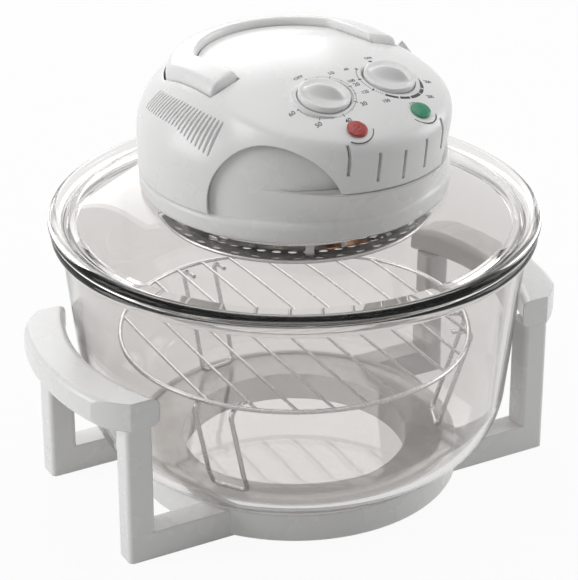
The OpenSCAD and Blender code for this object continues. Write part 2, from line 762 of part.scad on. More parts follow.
module motor_plate() color(steel_c) at_head() translate([0, 0, plate_h]) difference() {
    cylinder(r = plate_r, h = plate_t);
    translate([0, 0, -1]) cylinder(r = 9, h = plate_t + 2);
    for (a = motor_foot_turns) rotate([0, 0, a]) translate([motor_foot_reach, 0, -1]) cylinder(r = long_screw_r + fit_gap, h = 5, $fn = 32);
    for (s = [-1, 1]) translate([s * post_x, 0, -1]) cylinder(r = long_screw_r + fit_gap, h = 5, $fn = 32);
}

module motor_spacers() color(steel_c) at_head() for (a = motor_foot_turns) rotate([0, 0, a])
    translate([motor_foot_reach, 0, floor_top]) ring(3.5, long_screw_r + fit_gap, plate_h - floor_top, $fn = 32);

// Bearing bridge: a bar with a bushing and two posts, posts from height a to height b
module bearing_bridge(level, a, b) {
    difference() {
        union() {
            translate([0, 0, level]) soft_bar(2 * post_x + 10, bridge_w, bridge_t, 4, $fn = 32);
            translate([0, 0, level - bearing_l / 2 + 1]) cylinder(r = bearing_r, h = bearing_l, $fn = 48);
            for (s = [-1, 1]) translate([s * post_x, 0, a]) cylinder(r = post_r, h = b - a, $fn = 32);
        }
        translate([0, 0, level - 10]) cylinder(r = motor_shaft_r + fit_gap, h = 20, $fn = 32);
        for (s = [-1, 1]) translate([s * post_x, 0, a - 1]) cylinder(r = long_screw_r + fit_gap, h = b - a + bridge_t + 2, $fn = 32);
    }
}

module lower_bearing() color("darkgoldenrod") at_head() bearing_bridge(low_bridge_h, plate_h + plate_t, stack_h);

module upper_bearing() color("darkgoldenrod") at_head() bearing_bridge(top_bridge_h, stack_h + stack_t, top_bridge_h + 0.5);

module motor_stator() color([0.45, 0.46, 0.48]) at_head() translate([0, 6, stack_h]) difference() {
    translate([-stack_w / 2, -stack_l / 2, 0]) cube([stack_w, stack_l, stack_t]);
    translate([0, -6, -1]) cylinder(r = rotor_r + 0.6, h = stack_t + 2);
    for (s = [-1, 1]) {
        translate([s > 0 ? 9 : -19, 11, -1]) cube([10, 12, stack_t + 2]);
        translate([s * post_x, -6, -1]) cylinder(r = long_screw_r + fit_gap, h = stack_t + 2, $fn = 32);
    }
}

module motor_coil() color([0.72, 0.42, 0.2]) at_head() translate([0, 23, stack_h]) difference() {
    translate([0, 0, -6]) soft_bar(37.6, 11.6, stack_t + 12, 2.5, $fn = 32);
    translate([-9.1, -8, -0.1]) cube([18.2, 16, stack_t + 0.2]);
}

module motor_screws() color(steel_c) at_head() {
    for (s = [-1, 1]) translate([s * post_x, 0, top_bridge_h + bridge_t]) mirror([0, 0, 1])
        screw_up(top_bridge_h + bridge_t - plate_h + 1.5, long_screw_r, $fn = 32);
    for (a = motor_foot_turns) rotate([0, 0, a]) translate([motor_foot_reach, 0, plate_h + plate_t]) mirror([0, 0, 1])
        screw_up(plate_h + plate_t - floor_lift + 0.5, long_screw_r, $fn = 32);
}

module motor_rotor() color([0.6, 0.6, 0.62]) at_head() translate([0, 0, stack_h + 0.5])
    ring(rotor_r, motor_shaft_r + fit_gap, stack_t - 1);

shaft_low = dish_z + dish_t + 2.4;

module motor_shaft() color(steel_c)
    translate([0, 0, shaft_low]) cylinder(r = motor_shaft_r, h = head_z + cool_fan_h + 11 - shaft_low, $fn = 32);

module blades(n, r_hub, r_tip, h, t) {
    for (i = [0 : n - 1]) rotate([0, 0, i * 360 / n]) translate([r_hub - 1, -t / 2, 0]) cube([r_tip - r_hub + 1, t, h]);
}

module cooling_fan() color("whitesmoke") at_head() translate([0, 0, cool_fan_h]) difference() {
    union() {
        cylinder(r = 7, h = 10, $fn = 48);
        intersection() {
            blades(7, 7, cool_fan_r + 2, 8, 1.4);
            cylinder(r = cool_fan_r, h = 8);
        }
        ring(cool_fan_r, 6, sheet_t);
    }
    translate([0, 0, -1]) cylinder(r = motor_shaft_r + fit_gap, h = 14, $fn = 32);
}

fan_gap = 1.6;
blade_h = 8;

module convection_fan() color(steel_c) translate([0, 0, reflector_z - fan_gap - sheet_t - blade_h]) difference() {
    union() {
        translate([0, 0, blade_h]) cylinder(r = fan_r, h = sheet_t);
        intersection() {
            blades(fan_blades, 7, fan_r + 2, blade_h + eps, sheet_t);
            cylinder(r = fan_r, h = blade_h + 1);
        }
        cylinder(r = 7, h = blade_h + eps, $fn = 48);
    }
    translate([0, 0, -1]) cylinder(r = motor_shaft_r + fit_gap, h = 14, $fn = 32);
}

module fan_nut() color("goldenrod") translate([0, 0, shaft_low + 0.4]) difference() {
    cylinder(r = 4.6, h = reflector_z - fan_gap - sheet_t - blade_h - shaft_low - 0.4, $fn = 6);
    translate([0, 0, -1]) cylinder(r = motor_shaft_r + fit_gap, h = 8, $fn = 32);
}

// Heater

flange_r = lid_hole_r + 8;

module reflector_pan() color(steel_c) difference() {
    step_z = shelf_z - reflector_t;
    rotate_extrude() polygon([[6.5, reflector_z], [lid_hole_r - 4, reflector_z], [lid_hole_r - 1, step_z], [flange_r, step_z],
        [flange_r, shelf_z], [lid_hole_r - 2, shelf_z], [lid_hole_r - 5, reflector_z + reflector_t], [6.5, reflector_z + reflector_t]]);
    for (a = reflector_screw_turns) rotate([0, 0, a]) translate([reflector_screw_reach, 0, reflector_z - 1])
        cylinder(r = screw_r + fit_gap, h = 4, $fn = 32);
    for (a = cap_turns) rotate([0, 0, a]) translate([tube_ring_r, 0, reflector_z - 1]) cylinder(r = cap_r + 0.3, h = 4, $fn = 48);
    translate([probe_half, -probe_y, reflector_z - 1]) cylinder(r = line_r + 0.4, h = 4, $fn = 24);
}

spacer_h = head_z + floor_lift - reflector_z - reflector_t;

module reflector_spacers() color(steel_c) for (a = reflector_screw_turns) rotate([0, 0, a])
    translate([reflector_screw_reach, 0, reflector_z + reflector_t]) ring(4, screw_r + fit_gap, spacer_h, $fn = 32);

module reflector_screws() color(steel_c) for (a = reflector_screw_turns) rotate([0, 0, a])
    translate([reflector_screw_reach, 0, reflector_z]) screw_up(reflector_t + spacer_h + 7, $fn = 32);

tube_z = reflector_z - 2.2 - tube_r;
tube_end_r = tube_r + 0.7;

module halogen_tube() color([0.95, 0.9, 0.8]) translate([0, 0, tube_z]) {
    rotate([0, 0, cap_turns[1]]) rotate_extrude(angle = 300) translate([tube_ring_r, 0]) circle(tube_r, $fn = 48);
    for (a = cap_turns) rotate([0, 0, a]) translate([tube_ring_r, 0, -tube_end_r])
        cylinder(r = tube_end_r, h = 2 * tube_end_r, $fn = 48);
}

module tube_caps() color("ivory") for (a = cap_turns) rotate([0, 0, a]) translate([tube_ring_r, 0, tube_z + tube_end_r])
    cylinder(r = cap_r, h = head_z + floor_lift - tube_z - tube_end_r, $fn = 48);

module tube_clips() color(steel_c) for (a = [210, 270, 330]) rotate([0, 0, a]) translate([tube_ring_r, -2, tube_z]) {
    rotate([-90, 0, 0]) ring(tube_r + 1, tube_r + fit_gap, 4, $fn = 48);
    translate([-1.5, 0, tube_r + 0.5]) cube([3, 4, reflector_z - tube_z - tube_r - 0.5]);
}

hole_rows = [[12, 6], [22, 12], [32, 18], [42, 24], [52, 30], [61.5, 38], [80.5, 36]];
plate_edge_r = 70;
roll_r = 1.6;
dish_rise = 5.6;

module guard_dish() color(steel_c) translate([0, 0, dish_z]) difference() {
    cone_r = dish_r - 2 * roll_r;
    rotate_extrude() polygon(concat(
        [[0, 0], [plate_edge_r, 0], [cone_r + 0.3, dish_rise - roll_r + 0.1]],
        arc([dish_r - roll_r, dish_rise], roll_r, -90, 180, 8),
        [[cone_r - 0.6, dish_rise - roll_r + 1.1], [plate_edge_r - 0.2, dish_t], [0, dish_t]]));
    for (row = hole_rows) for (i = [0 : row[1] - 1]) rotate([0, 0, (i + 0.5) * 360 / row[1]]) translate([row[0], 0, -1])
        cylinder(r = dish_hole_r, h = 8, $fn = 24);
}

strap_w = 5.5;
strap_turns = [0, 120, 240];
strap_r = lid_hole_r - 3;

module dish_straps() color([0.35, 0.35, 0.36]) for (a = strap_turns) rotate([0, 0, a]) translate([0, -strap_w / 2, 0]) {
    foot_z = dish_z + 4.7;
    translate([strap_r, 0, foot_z]) cube([sheet_t, strap_w, reflector_z - foot_z]);
    translate([strap_r - 6, 0, reflector_z - sheet_t]) cube([6, strap_w, sheet_t]);
}

// Mains inlet

module terminal_block() color("ivory") at_head() translate([0, 70, floor_top]) difference() {
    soft_bar(32, 16, 14, 1.5, $fn = 24);
    for (x = [-10, 0, 10]) {
        translate([x, 9, 6]) rotate([90, 0, 0]) cylinder(r = 2, h = 18, $fn = 24);
        translate([x, 0, 8]) cylinder(r = 1.8, h = 8, $fn = 24);
    }
}

module cord_gland() color(black_c) at_head() translate([0, head_r + 2.6, gland_h]) rotate([90, 0, 0]) difference() {
    union() {
        cylinder(r = gland_r, h = 12, $fn = 48);
        cylinder(r = gland_r + 2.2, h = 2.4, $fn = 48);
    }
    translate([0, 0, -1]) cylinder(r = 3.8, h = 14, $fn = 48);
}

stand_frame();
stand_grip_left();
stand_grip_right();
stand_screws();
glass_bowl();
rack_grid();
rack_leg_front();
rack_leg_right();
rack_leg_rear();
lid_glass();
lid_gasket();
lower_housing();
upper_cover();
cover_screws();
carry_handle();
handle_pins();
switch_plunger();
safety_switch();
timer_knob();
timer_shaft();
timer_unit();
timer_bell();
thermostat_knob();
thermostat_shaft();
thermostat_unit();
thermostat_probe();
probe_clips();
power_lamp_lens();
heat_lamp_lens();
lamp_holders();
motor_plate();
motor_spacers();
lower_bearing();
motor_stator();
motor_coil();
upper_bearing();
motor_screws();
motor_rotor();
motor_shaft();
cooling_fan();
convection_fan();
fan_nut();
reflector_pan();
reflector_spacers();
reflector_screws();
halogen_tube();
tube_caps();
tube_clips();
guard_dish();
dish_straps();
terminal_block();
cord_gland();
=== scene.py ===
import math
import bmesh
import bpy
import numpy as np
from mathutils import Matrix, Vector


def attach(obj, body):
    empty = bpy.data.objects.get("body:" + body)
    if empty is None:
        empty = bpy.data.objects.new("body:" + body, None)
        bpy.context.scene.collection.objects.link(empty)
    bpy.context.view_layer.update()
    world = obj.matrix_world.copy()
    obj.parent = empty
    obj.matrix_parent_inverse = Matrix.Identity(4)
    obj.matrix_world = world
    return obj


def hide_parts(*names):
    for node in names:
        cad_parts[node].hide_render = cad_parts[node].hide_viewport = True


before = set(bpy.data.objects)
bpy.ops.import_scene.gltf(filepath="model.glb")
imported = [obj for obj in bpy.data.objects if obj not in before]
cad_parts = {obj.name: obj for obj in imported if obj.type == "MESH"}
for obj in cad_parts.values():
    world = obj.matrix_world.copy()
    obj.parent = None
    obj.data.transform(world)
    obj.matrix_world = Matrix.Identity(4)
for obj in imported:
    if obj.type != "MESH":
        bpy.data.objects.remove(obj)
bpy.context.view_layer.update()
scene = bpy.context.scene

# Camera, at the photograph's viewing angle. The shift is in shares of the longer side
cameraSetup = {
    "azimuth": -36.6, "elevation": 26.065, "distance": 1.6266, "target": (0.0, 0.0, 0.15),
    "sensor": 36, "lens": 148.97, "shift": (-5.487 / 580, -25.768 / 580),
}


def placeCamera(setup):
    azimuth = math.radians(setup["azimuth"])
    elevation = math.radians(setup["elevation"])
    level = math.cos(elevation)
    back = Vector((math.sin(azimuth) * level, -math.cos(azimuth) * level, math.sin(elevation)))
    data = bpy.data.cameras.new("studioCamera")
    data.lens = setup["lens"]
    data.sensor_width = setup["sensor"]
    data.shift_x, data.shift_y = setup["shift"]
    camera = bpy.data.objects.new("studioCamera", data)
    camera.location = Vector(setup["target"]) + back * setup["distance"]
    camera.rotation_euler = (math.pi / 2 - elevation, 0, azimuth)
    scene.collection.objects.link(camera)
    scene.camera = camera


placeCamera(cameraSetup)
scene.view_settings.view_transform = "Standard"
print("camera placed")

# Light: a soft roof, two sides and a rear panel, and a pale world. Places in metres
lightSetup = {
    "roof": {"at": (0.1, 0.25, 1.9), "size": 1.6, "power": 11.5},
    "leftSide": {"at": (-1.55, 0.75, 0.75), "size": 1.1, "power": 14.0},
    "rightSide": {"at": (1.5, -0.45, 0.8), "size": 1.0, "power": 10.0},
    "rear": {"at": (0.7, 1.6, 1.0), "size": 1.1, "power": 9.0},
}
studio = {
    "aim": (0, 0, 0.18), "fill": 0.22, "white": 1.0,
    "floorHalf": 4.0, "floorDrop": 0.0006, "floorColor": (0.86, 0.86, 0.86, 1), "floorGlow": 0.93,
}


def addLights():
    for name, spec in lightSetup.items():
        data = bpy.data.lights.new(name, "AREA")
        data.shape = "SQUARE"
        data.size = spec["size"]
        data.energy = spec["power"]
        lamp = bpy.data.objects.new(name, data)
        lamp.location = spec["at"]
        aim = Vector(studio["aim"]) - Vector(spec["at"])
        lamp.rotation_euler = aim.to_track_quat("-Z", "Y").to_euler()
        scene.collection.objects.link(lamp)


# The larger of several mask values
def largest(tree, sources):
    result = sources[0]
    for source in sources[1:]:
        node = tree.nodes.new("ShaderNodeMath")
        node.operation = "MAXIMUM"
        tree.links.new(result, node.inputs[0])
        tree.links.new(source, node.inputs[1])
        result = node.outputs[0]
    return result


def rayMask(tree, kinds):
    path = tree.nodes.new("ShaderNodeLightPath")
    return largest(tree, [path.outputs[kind] for kind in kinds])


def mixShaders(tree, mask, low, high, output):
    mix = tree.nodes.new("ShaderNodeMixShader")
    tree.links.new(mask, mix.inputs[0])
    tree.links.new(low, mix.inputs[1])
    tree.links.new(high, mix.inputs[2])
    tree.links.new(mix.outputs[0], output)


seenRays = ("Is Camera Ray", "Is Glossy Ray", "Is Transmission Ray")


def buildWorld():
    world = bpy.data.worlds.new("paleStudio")
    scene.world = world
    world.use_nodes = True
    tree = world.node_tree
    tree.nodes.clear()
    output = tree.nodes.new("ShaderNodeOutputWorld")
    glows = []
    for strength in (studio["fill"], studio["white"]):
        glow = tree.nodes.new("ShaderNodeBackground")
        glow.inputs["Color"].default_value = (1, 1, 1, 1)
        glow.inputs["Strength"].default_value = strength
        glows.append(glow.outputs[0])
    mixShaders(tree, rayMask(tree, seenRays), *glows, output.inputs[0])


def buildFloor():
    mesh = bpy.data.meshes.new("floor")
    half, drop = studio["floorHalf"], -studio["floorDrop"]
    corners = [(-half, -half, drop), (half, -half, drop), (half, half, drop), (-half, half, drop)]
    mesh.from_pydata(corners, [], [(0, 1, 2, 3)])
    floor = bpy.data.objects.new("floor", mesh)
    scene.collection.objects.link(floor)
    material = bpy.data.materials.new("paleFloor")
    material.use_nodes = True
    tree = material.node_tree
    tree.nodes.clear()
    output = tree.nodes.new("ShaderNodeOutputMaterial")
    paint = tree.nodes.new("ShaderNodeBsdfDiffuse")
    paint.inputs["Color"].default_value = studio["floorColor"]
    glow = tree.nodes.new("ShaderNodeEmission")
    glow.inputs["Strength"].default_value = studio["white"]
    share = tree.nodes.new("ShaderNodeMath")  # leaves a faint shadow on the white
    share.operation = "MULTIPLY"
    share.inputs[1].default_value = studio["floorGlow"]
    tree.links.new(rayMask(tree, seenRays), share.inputs[0])
    mixShaders(tree, share.outputs[0], paint.outputs[0], glow.outputs[0], output.inputs[0])
    mesh.materials.append(material)


addLights()
buildWorld()
buildFloor()
print("light and floor ready")


# Shared effects: slow changes of colour and gloss, and a fine skin
def startGroup(name, inputs, outputs):
    group = bpy.data.node_groups.new(name, "ShaderNodeTree")
    for label, kind, value in inputs:
        socket = group.interface.new_socket(name=label, in_out="INPUT", socket_type=kind)
        socket.default_value = value
    for label, kind in outputs:
        group.interface.new_socket(name=label, in_out="OUTPUT", socket_type=kind)
    return group, group.nodes.new("NodeGroupInput"), group.nodes.new("NodeGroupOutput")


def addPattern(group, source, kind):
    place = group.nodes.new("ShaderNodeTexCoord")
    pattern = group.nodes.new(kind)
    group.links.new(place.outputs["Object"], pattern.inputs["Vector"])
    group.links.new(source.outputs["Scale"], pattern.inputs["Scale"])
    return pattern


def addNoise(group, source, detail):
    noise = addPattern(group, source, "ShaderNodeTexNoise")
    noise.inputs["Detail"].default_value = detail
    return noise.outputs["Fac"]


# first times second, plus third where there is one
def addMath(group, operation, sources):
    node = group.nodes.new("ShaderNodeMath")
    node.operation = operation
    for index, source in enumerate(sources):
        group.links.new(source, node.inputs[index])
    return node.outputs[0]


def buildToneDrift():
    inputs = [("Color", "NodeSocketColor", (0.8, 0.8, 0.8, 1)), ("Amount", "NodeSocketFloat", 0.05),
        ("Scale", "NodeSocketFloat", 20.0)]
    group, source, sink = startGroup("toneDrift", inputs, [("Color", "NodeSocketColor")])
    noise = addNoise(group, source, 3.0)
    shade = group.nodes.new("ShaderNodeMixRGB")
    shade.blend_type = "MULTIPLY"
    amount = addMath(group, "MULTIPLY", [noise, source.outputs["Amount"]])
    group.links.new(amount, shade.inputs["Fac"])
    group.links.new(source.outputs["Color"], shade.inputs["Color1"])
    shade.inputs["Color2"].default_value = (0.55, 0.55, 0.54, 1)
    group.links.new(shade.outputs[0], sink.inputs[0])
    return group


def buildGlossDrift():
    inputs = [("Roughness", "NodeSocketFloat", 0.3), ("Spread", "NodeSocketFloat", 0.05),
        ("Scale", "NodeSocketFloat", 60.0)]
    group, source, sink = startGroup("glossDrift", inputs, [("Roughness", "NodeSocketFloat")])
    noise = addNoise(group, source, 4.0)
    sources = [noise, source.outputs["Spread"], source.outputs["Roughness"]]
    group.links.new(addMath(group, "MULTIPLY_ADD", sources), sink.inputs[0])
    return group


def buildFineSkin():
    inputs = [("Scale", "NodeSocketFloat", 900.0), ("Pits", "NodeSocketFloat", 0.3)]
    group, source, sink = startGroup("fineSkin", inputs, [("Height", "NodeSocketFloat")])
    noise = addNoise(group, source, 2.0)
    cells = addPattern(group, source, "ShaderNodeTexVoronoi")
    sources = [cells.outputs["Distance"], source.outputs["Pits"], noise]
    group.links.new(addMath(group, "MULTIPLY_ADD", sources), sink.inputs[0])
    return group


sharedEffects = {
    "toneDrift": buildToneDrift(), "glossDrift": buildGlossDrift(), "fineSkin": buildFineSkin(),
}

# Finishes. drift: share of shade, spread: added roughness, driftScale and skin: patches per metre
finishes = {
    "whitePlastic": {"color": (0.86, 0.86, 0.855), "rough": 0.26, "drift": 0.03, "driftScale": 9,
        "spread": 0.025, "skin": 1400, "bump": 0.03, "edge": 0.0012},
    "smokedGlass": {"color": (0.77, 0.755, 0.745), "rough": 0.0, "drift": 0.02, "driftScale": 9,
        "skin": 60, "bump": 0.006, "glass": 1.4},
    "lidGlass": {"color": (0.86, 0.85, 0.84), "rough": 0.0, "drift": 0.02, "driftScale": 9,
        "skin": 60, "bump": 0.006, "glass": 1.25},
    "chromeWire": {"color": (0.66, 0.65, 0.65), "rough": 0.2, "drift": 0.2, "driftScale": 120,
        "spread": 0.12, "skin": 900, "bump": 0.05, "metal": 1.0},
    "seal": {"color": (0.03, 0.03, 0.032), "rough": 0.55, "drift": 0.3, "driftScale": 90,
        "spread": 0.2, "skin": 1100, "bump": 0.2},
    "platedSteel": {"color": (0.62, 0.62, 0.63), "rough": 0.22, "drift": 0.3, "driftScale": 80,
        "spread": 0.2, "skin": 900, "bump": 0.08, "metal": 1.0},
    "reflectorSteel": {"color": (0.7, 0.7, 0.7), "rough": 0.16, "drift": 0.2, "driftScale": 30,
        "spread": 0.12, "skin": 400, "bump": 0.06, "metal": 1.0},
    "darkSteel": {"color": (0.58, 0.57, 0.57), "rough": 0.28, "drift": 0.35, "driftScale": 45,
        "spread": 0.16, "skin": 500, "bump": 0.06, "metal": 1.0},
    "redLens": {"color": (0.5, 0.022, 0.016), "rough": 0.1, "drift": 0.9, "driftScale": 420,
        "spread": 0.08, "skin": 620, "bump": 0.8},
    "greenLens": {"color": (0.016, 0.34, 0.17), "rough": 0.1, "drift": 0.9, "driftScale": 420,
        "spread": 0.08, "skin": 620, "bump": 0.8},
    "blackPlastic": {"color": (0.025, 0.025, 0.027), "rough": 0.35, "drift": 0.3, "driftScale": 60,
        "spread": 0.15, "skin": 1200, "bump": 0.1},
    "copperCoil": {"color": (0.62, 0.27, 0.12), "rough": 0.3, "drift": 0.5, "driftScale": 300,
        "spread": 0.2, "skin": 1800, "bump": 0.5, "metal": 1.0},
    "probeCopper": {"color": (0.7, 0.36, 0.2), "rough": 0.28, "drift": 0.4, "driftScale": 90,
        "spread": 0.2, "skin": 900, "bump": 0.1, "metal": 1.0},
    "bearingBrass": {"color": (0.66, 0.48, 0.2), "rough": 0.26, "drift": 0.4, "driftScale": 90,
        "spread": 0.2, "skin": 900, "bump": 0.1, "metal": 1.0},
    "motorIron": {"color": (0.3, 0.3, 0.31), "rough": 0.4, "drift": 0.5, "driftScale": 200,
        "spread": 0.2, "skin": 1500, "bump": 0.3, "metal": 1.0},
    "fanPlastic": {"color": (0.7, 0.7, 0.68), "rough": 0.35, "drift": 0.1, "driftScale": 40,
        "spread": 0.1, "skin": 900, "bump": 0.08},
    "quartzTube": {"color": (0.9, 0.87, 0.82), "rough": 0.12, "drift": 0.2, "driftScale": 60,
        "spread": 0.1, "skin": 300, "bump": 0.05, "clear": 0.55},
    "ceramic": {"color": (0.78, 0.75, 0.68), "rough": 0.5, "drift": 0.2, "driftScale": 120,
        "spread": 0.2, "skin": 1000, "bump": 0.2},
    "dialInk": {"color": (0.03, 0.03, 0.032), "rough": 0.4, "drift": 0.3, "driftScale": 300,
        "spread": 0.15, "skin": 1500, "bump": 0.05},
}
skinPits = 0.4
skinDepth = 0.0004  # metres
edgeSamples = 6


def placeGroup(tree, name, values):
    node = tree.nodes.new("ShaderNodeGroup")
    node.node_tree = sharedEffects[name]
    for label, value in values.items():
        node.inputs[label].default_value = value
    return node.outputs[0]


# Light reaches what stands behind the glass
def passShadows(tree, shader, color):
    through = tree.nodes.new("ShaderNodeBsdfTransparent")
    through.inputs["Color"].default_value = (*[0.5 + 0.5 * value for value in color], 1)
    mask = rayMask(tree, ("Is Shadow Ray", "Is Diffuse Ray"))
    surface = tree.nodes["Material Output"].inputs["Surface"]
    mixShaders(tree, mask, shader.outputs[0], through.outputs[0], surface)


def buildFinish(name, spec):
    material = bpy.data.materials.new(name)
    material.use_nodes = True
    tree = material.node_tree
    shader = tree.nodes["Principled BSDF"]
    toneValues = {"Color": (*spec["color"], 1), "Amount": spec["drift"], "Scale": spec["driftScale"]}
    tree.links.new(placeGroup(tree, "toneDrift", toneValues), shader.inputs["Base Color"])
    bump = tree.nodes.new("ShaderNodeBump")
    bump.inputs["Strength"].default_value = spec["bump"]
    bump.inputs["Distance"].default_value = skinDepth
    skin = placeGroup(tree, "fineSkin", {"Scale": spec["skin"], "Pits": skinPits})
    tree.links.new(skin, bump.inputs["Height"])
    if "edge" in spec:
        edge = tree.nodes.new("ShaderNodeBevel")
        edge.samples = edgeSamples
        edge.inputs["Radius"].default_value = spec["edge"]
        tree.links.new(edge.outputs[0], bump.inputs["Normal"])
    tree.links.new(bump.outputs[0], shader.inputs["Normal"])
    if "glass" in spec:
        shader.inputs["Roughness"].default_value = spec["rough"]
        shader.inputs["Transmission Weight"].default_value = 1.0
        shader.inputs["IOR"].default_value = spec["glass"]
        passShadows(tree, shader, spec["color"])
        return material
    glossValues = {"Roughness": spec["rough"], "Spread": spec["spread"], "Scale": spec["driftScale"] * 4}
    tree.links.new(placeGroup(tree, "glossDrift", glossValues), shader.inputs["Roughness"])
    shader.inputs["Metallic"].default_value = spec.get("metal", 0.0)
    shader.inputs["Transmission Weight"].default_value = spec.get("clear", 0.0)
    return material


materials = {name: buildFinish(name, spec) for name, spec in finishes.items()}

# The solids that keep their own mesh, by finish
finishNodes = {
    "whitePlastic": ["stand_frame", "stand_grip_left", "stand_grip_right"],
    "chromeWire": ["rack_grid", "rack_leg_front", "rack_leg_right", "rack_leg_rear"],
    "seal": ["lid_gasket"],
    "platedSteel": ["stand_screws", "cover_screws", "handle_pins", "timer_shaft", "timer_unit",
        "timer_bell", "thermostat_shaft", "thermostat_unit", "probe_clips", "motor_plate",
        "motor_spacers", "motor_screws", "motor_shaft", "convection_fan", "reflector_spacers",
        "reflector_screws", "tube_clips"],
    "reflectorSteel": ["reflector_pan"],
    "darkSteel": ["guard_dish", "dish_straps"],
    "blackPlastic": ["safety_switch", "lamp_holders", "cord_gland", "switch_plunger"],
    "copperCoil": ["motor_coil"],
    "probeCopper": ["thermostat_probe"],
    "bearingBrass": ["lower_bearing", "upper_bearing", "fan_nut"],
    "motorIron": ["motor_stator", "motor_rotor"],
    "fanPlastic": ["cooling_fan"],
    "quartzTube": ["halogen_tube"],
    "ceramic": ["tube_caps", "terminal_block"],
}
for finish, names in finishNodes.items():
    for name in names:
        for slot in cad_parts[name].material_slots:
            slot.material = materials[finish]
print("finishes ready")

# Mesh helpers, in millimetres
weldGap = 0.000002  # metres


def tidyMesh(mesh):
    tidy = bmesh.new()
    tidy.from_mesh(mesh)
    bmesh.ops.remove_doubles(tidy, verts=tidy.verts, dist=weldGap)
    bmesh.ops.recalc_face_normals(tidy, faces=tidy.faces)
    tidy.to_mesh(mesh)
    tidy.free()


def plainObject(name, points, faces):
    mesh = bpy.data.meshes.new(name)
    mesh.from_pydata([tuple(float(value) / 1000 for value in point) for point in points], [], faces)
    piece = bpy.data.objects.new(name, mesh)
    scene.collection.objects.link(piece)
    return piece


def rawObject(name, points, faces):
    piece = plainObject(name, points, faces)
    tidyMesh(piece.data)
    return piece


def finishPiece(piece, finish, body, replaced, sharp):
    mesh = piece.data
    tidyMesh(mesh)
    mesh.materials.clear()
    mesh.materials.append(materials[finish])
    for face in mesh.polygons:
        face.use_smooth = True
        face.material_index = 0
    mesh.set_sharp_from_angle(angle=math.radians(sharp))
    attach(piece, body)
    if replaced:
        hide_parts(*replaced)


def addPiece(name, shape, finish, body, replaced=(), sharp=38):
    piece = plainObject(name, *shape)
    finishPiece(piece, finish, body, replaced, sharp)


def combine(target, name, shape, operation="DIFFERENCE"):
    cutter = rawObject(name, *shape)
    modifier = target.modifiers.new(operation.lower(), "BOOLEAN")
    modifier.operation = operation
    modifier.solver = "EXACT"
    modifier.object = cutter
    bpy.context.view_layer.update()
    evaluated = target.evaluated_get(bpy.context.evaluated_depsgraph_get())
    mesh = bpy.data.meshes.new_from_object(evaluated)
    target.modifiers.clear()
    oldMesh = target.data
    target.data = mesh
    bpy.data.meshes.remove(oldMesh)
    bpy.data.objects.remove(cutter)


def arcPoints(centre, radius, start, end, steps):
    turns = [math.radians(start + (end - start) * index / steps) for index in range(steps + 1)]
    return [(centre[0] + radius * math.cos(turn), centre[1] + radius * math.sin(turn)) for turn in turns]


# Profile of (radius, height) turned about the middle; a point on the axis is one vertex
def revolve(profile, steps=192, closed=True):
    points, faces, rings = [], [], []
    for radius, height in profile:
        if radius == 0:
            rings.append([len(points)] * steps)
            points.append((0, 0, height))
            continue
        rings.append(list(range(len(points), len(points) + steps)))
        for index in range(steps):
            turn = 2 * math.pi * index / steps
            points.append((radius * math.cos(turn), radius * math.sin(turn), height))
    count = len(profile)
    for row in range(count if closed else count - 1):
        low, high = rings[row], rings[(row + 1) % count]
        for index in range(steps):
            after = (index + 1) % steps
            corners = [low[index], low[after], high[after], high[index]]
            corners = [corner for place, corner in enumerate(corners) if corner not in corners[:place]]
            if len(corners) > 2:
                faces.append(corners)
    return points, faces


# Faces of a closed tube of rows with the same number of points
def tubeFaces(rows, columns, capped=False):
    faces = []
    for row in range(rows - 1):
        low, high = row * columns, (row + 1) * columns
        for column in range(columns):
            after = (column + 1) % columns
            faces.append((low + column, low + after, high + after, high + column))
    if capped:
        faces.append(tuple(range(columns)))
        faces.append(tuple(range((rows - 1) * columns, rows * columns)))
    return faces


def mergeParts(parts):
    points, faces = [], []
    for partPoints, partFaces in parts:
        start = len(points)
        points += list(partPoints)
        faces += [tuple(start + corner for corner in face) for face in partFaces]
    return points, faces


# Glass bowl
bowlShape = {
    "foot": 20.3, "top": 185.7, "wall": 5.0, "corner": 50.0, "taper": 6.0, "wallTop": 157.2,
    "beadOut": 163.5, "bead": 3.9, "lip": 2.0,
}


def buildBowl(shape):
    lean = math.radians(shape["taper"])
    corner, bead, lip, foot = shape["corner"], shape["bead"], shape["lip"], shape["foot"]
    cornerHeight = foot + corner
    beadLow = shape["top"] - 2 * bead
    footRadius = shape["wallTop"] - (beadLow - cornerHeight) * math.tan(lean) - corner / math.cos(lean)
    wallWidth = shape["wall"] / math.cos(lean)
    floor = foot + shape["wall"]
    profile = [(0, foot), (footRadius / 2, foot)]
    profile += arcPoints((footRadius, cornerHeight), corner, -90, -shape["taper"], 40)
    profile += [(shape["wallTop"], beadLow)]
    profile += arcPoints((shape["beadOut"] - bead, shape["top"] - bead), bead, -70, 90, 20)
    profile += arcPoints((shape["wallTop"] - wallWidth + lip, shape["top"] - lip), lip, 90, 180, 6)
    profile += arcPoints((footRadius, cornerHeight), corner - shape["wall"], -shape["taper"], -90, 40)
    profile += [(footRadius / 2, floor), (0, floor)]
    shell = revolve(profile, closed=False)
    addPiece("bowlGlass", shell, "smokedGlass", "bowl", ["glass_bowl"])


# Glass lid: shelf under the head, slope, groove, rolled rim and a spigot in the bowl
lidShape = {
    "low": 186.0, "rimHeight": 8.0, "rimRadius": 165.0, "groove": 153.0, "shelf": 101.0, "hole": 86.0,
    "shelfLow": 208.4, "shelfHigh": 213.4, "web": 4.5, "curve": 1.35, "slopeSteps": 26, "slopeEnd": 0.9,
    "spigot": 148.5, "spigotWall": 3.5, "spigotDepth": 4.0, "spigotEdge": 0.6,
}


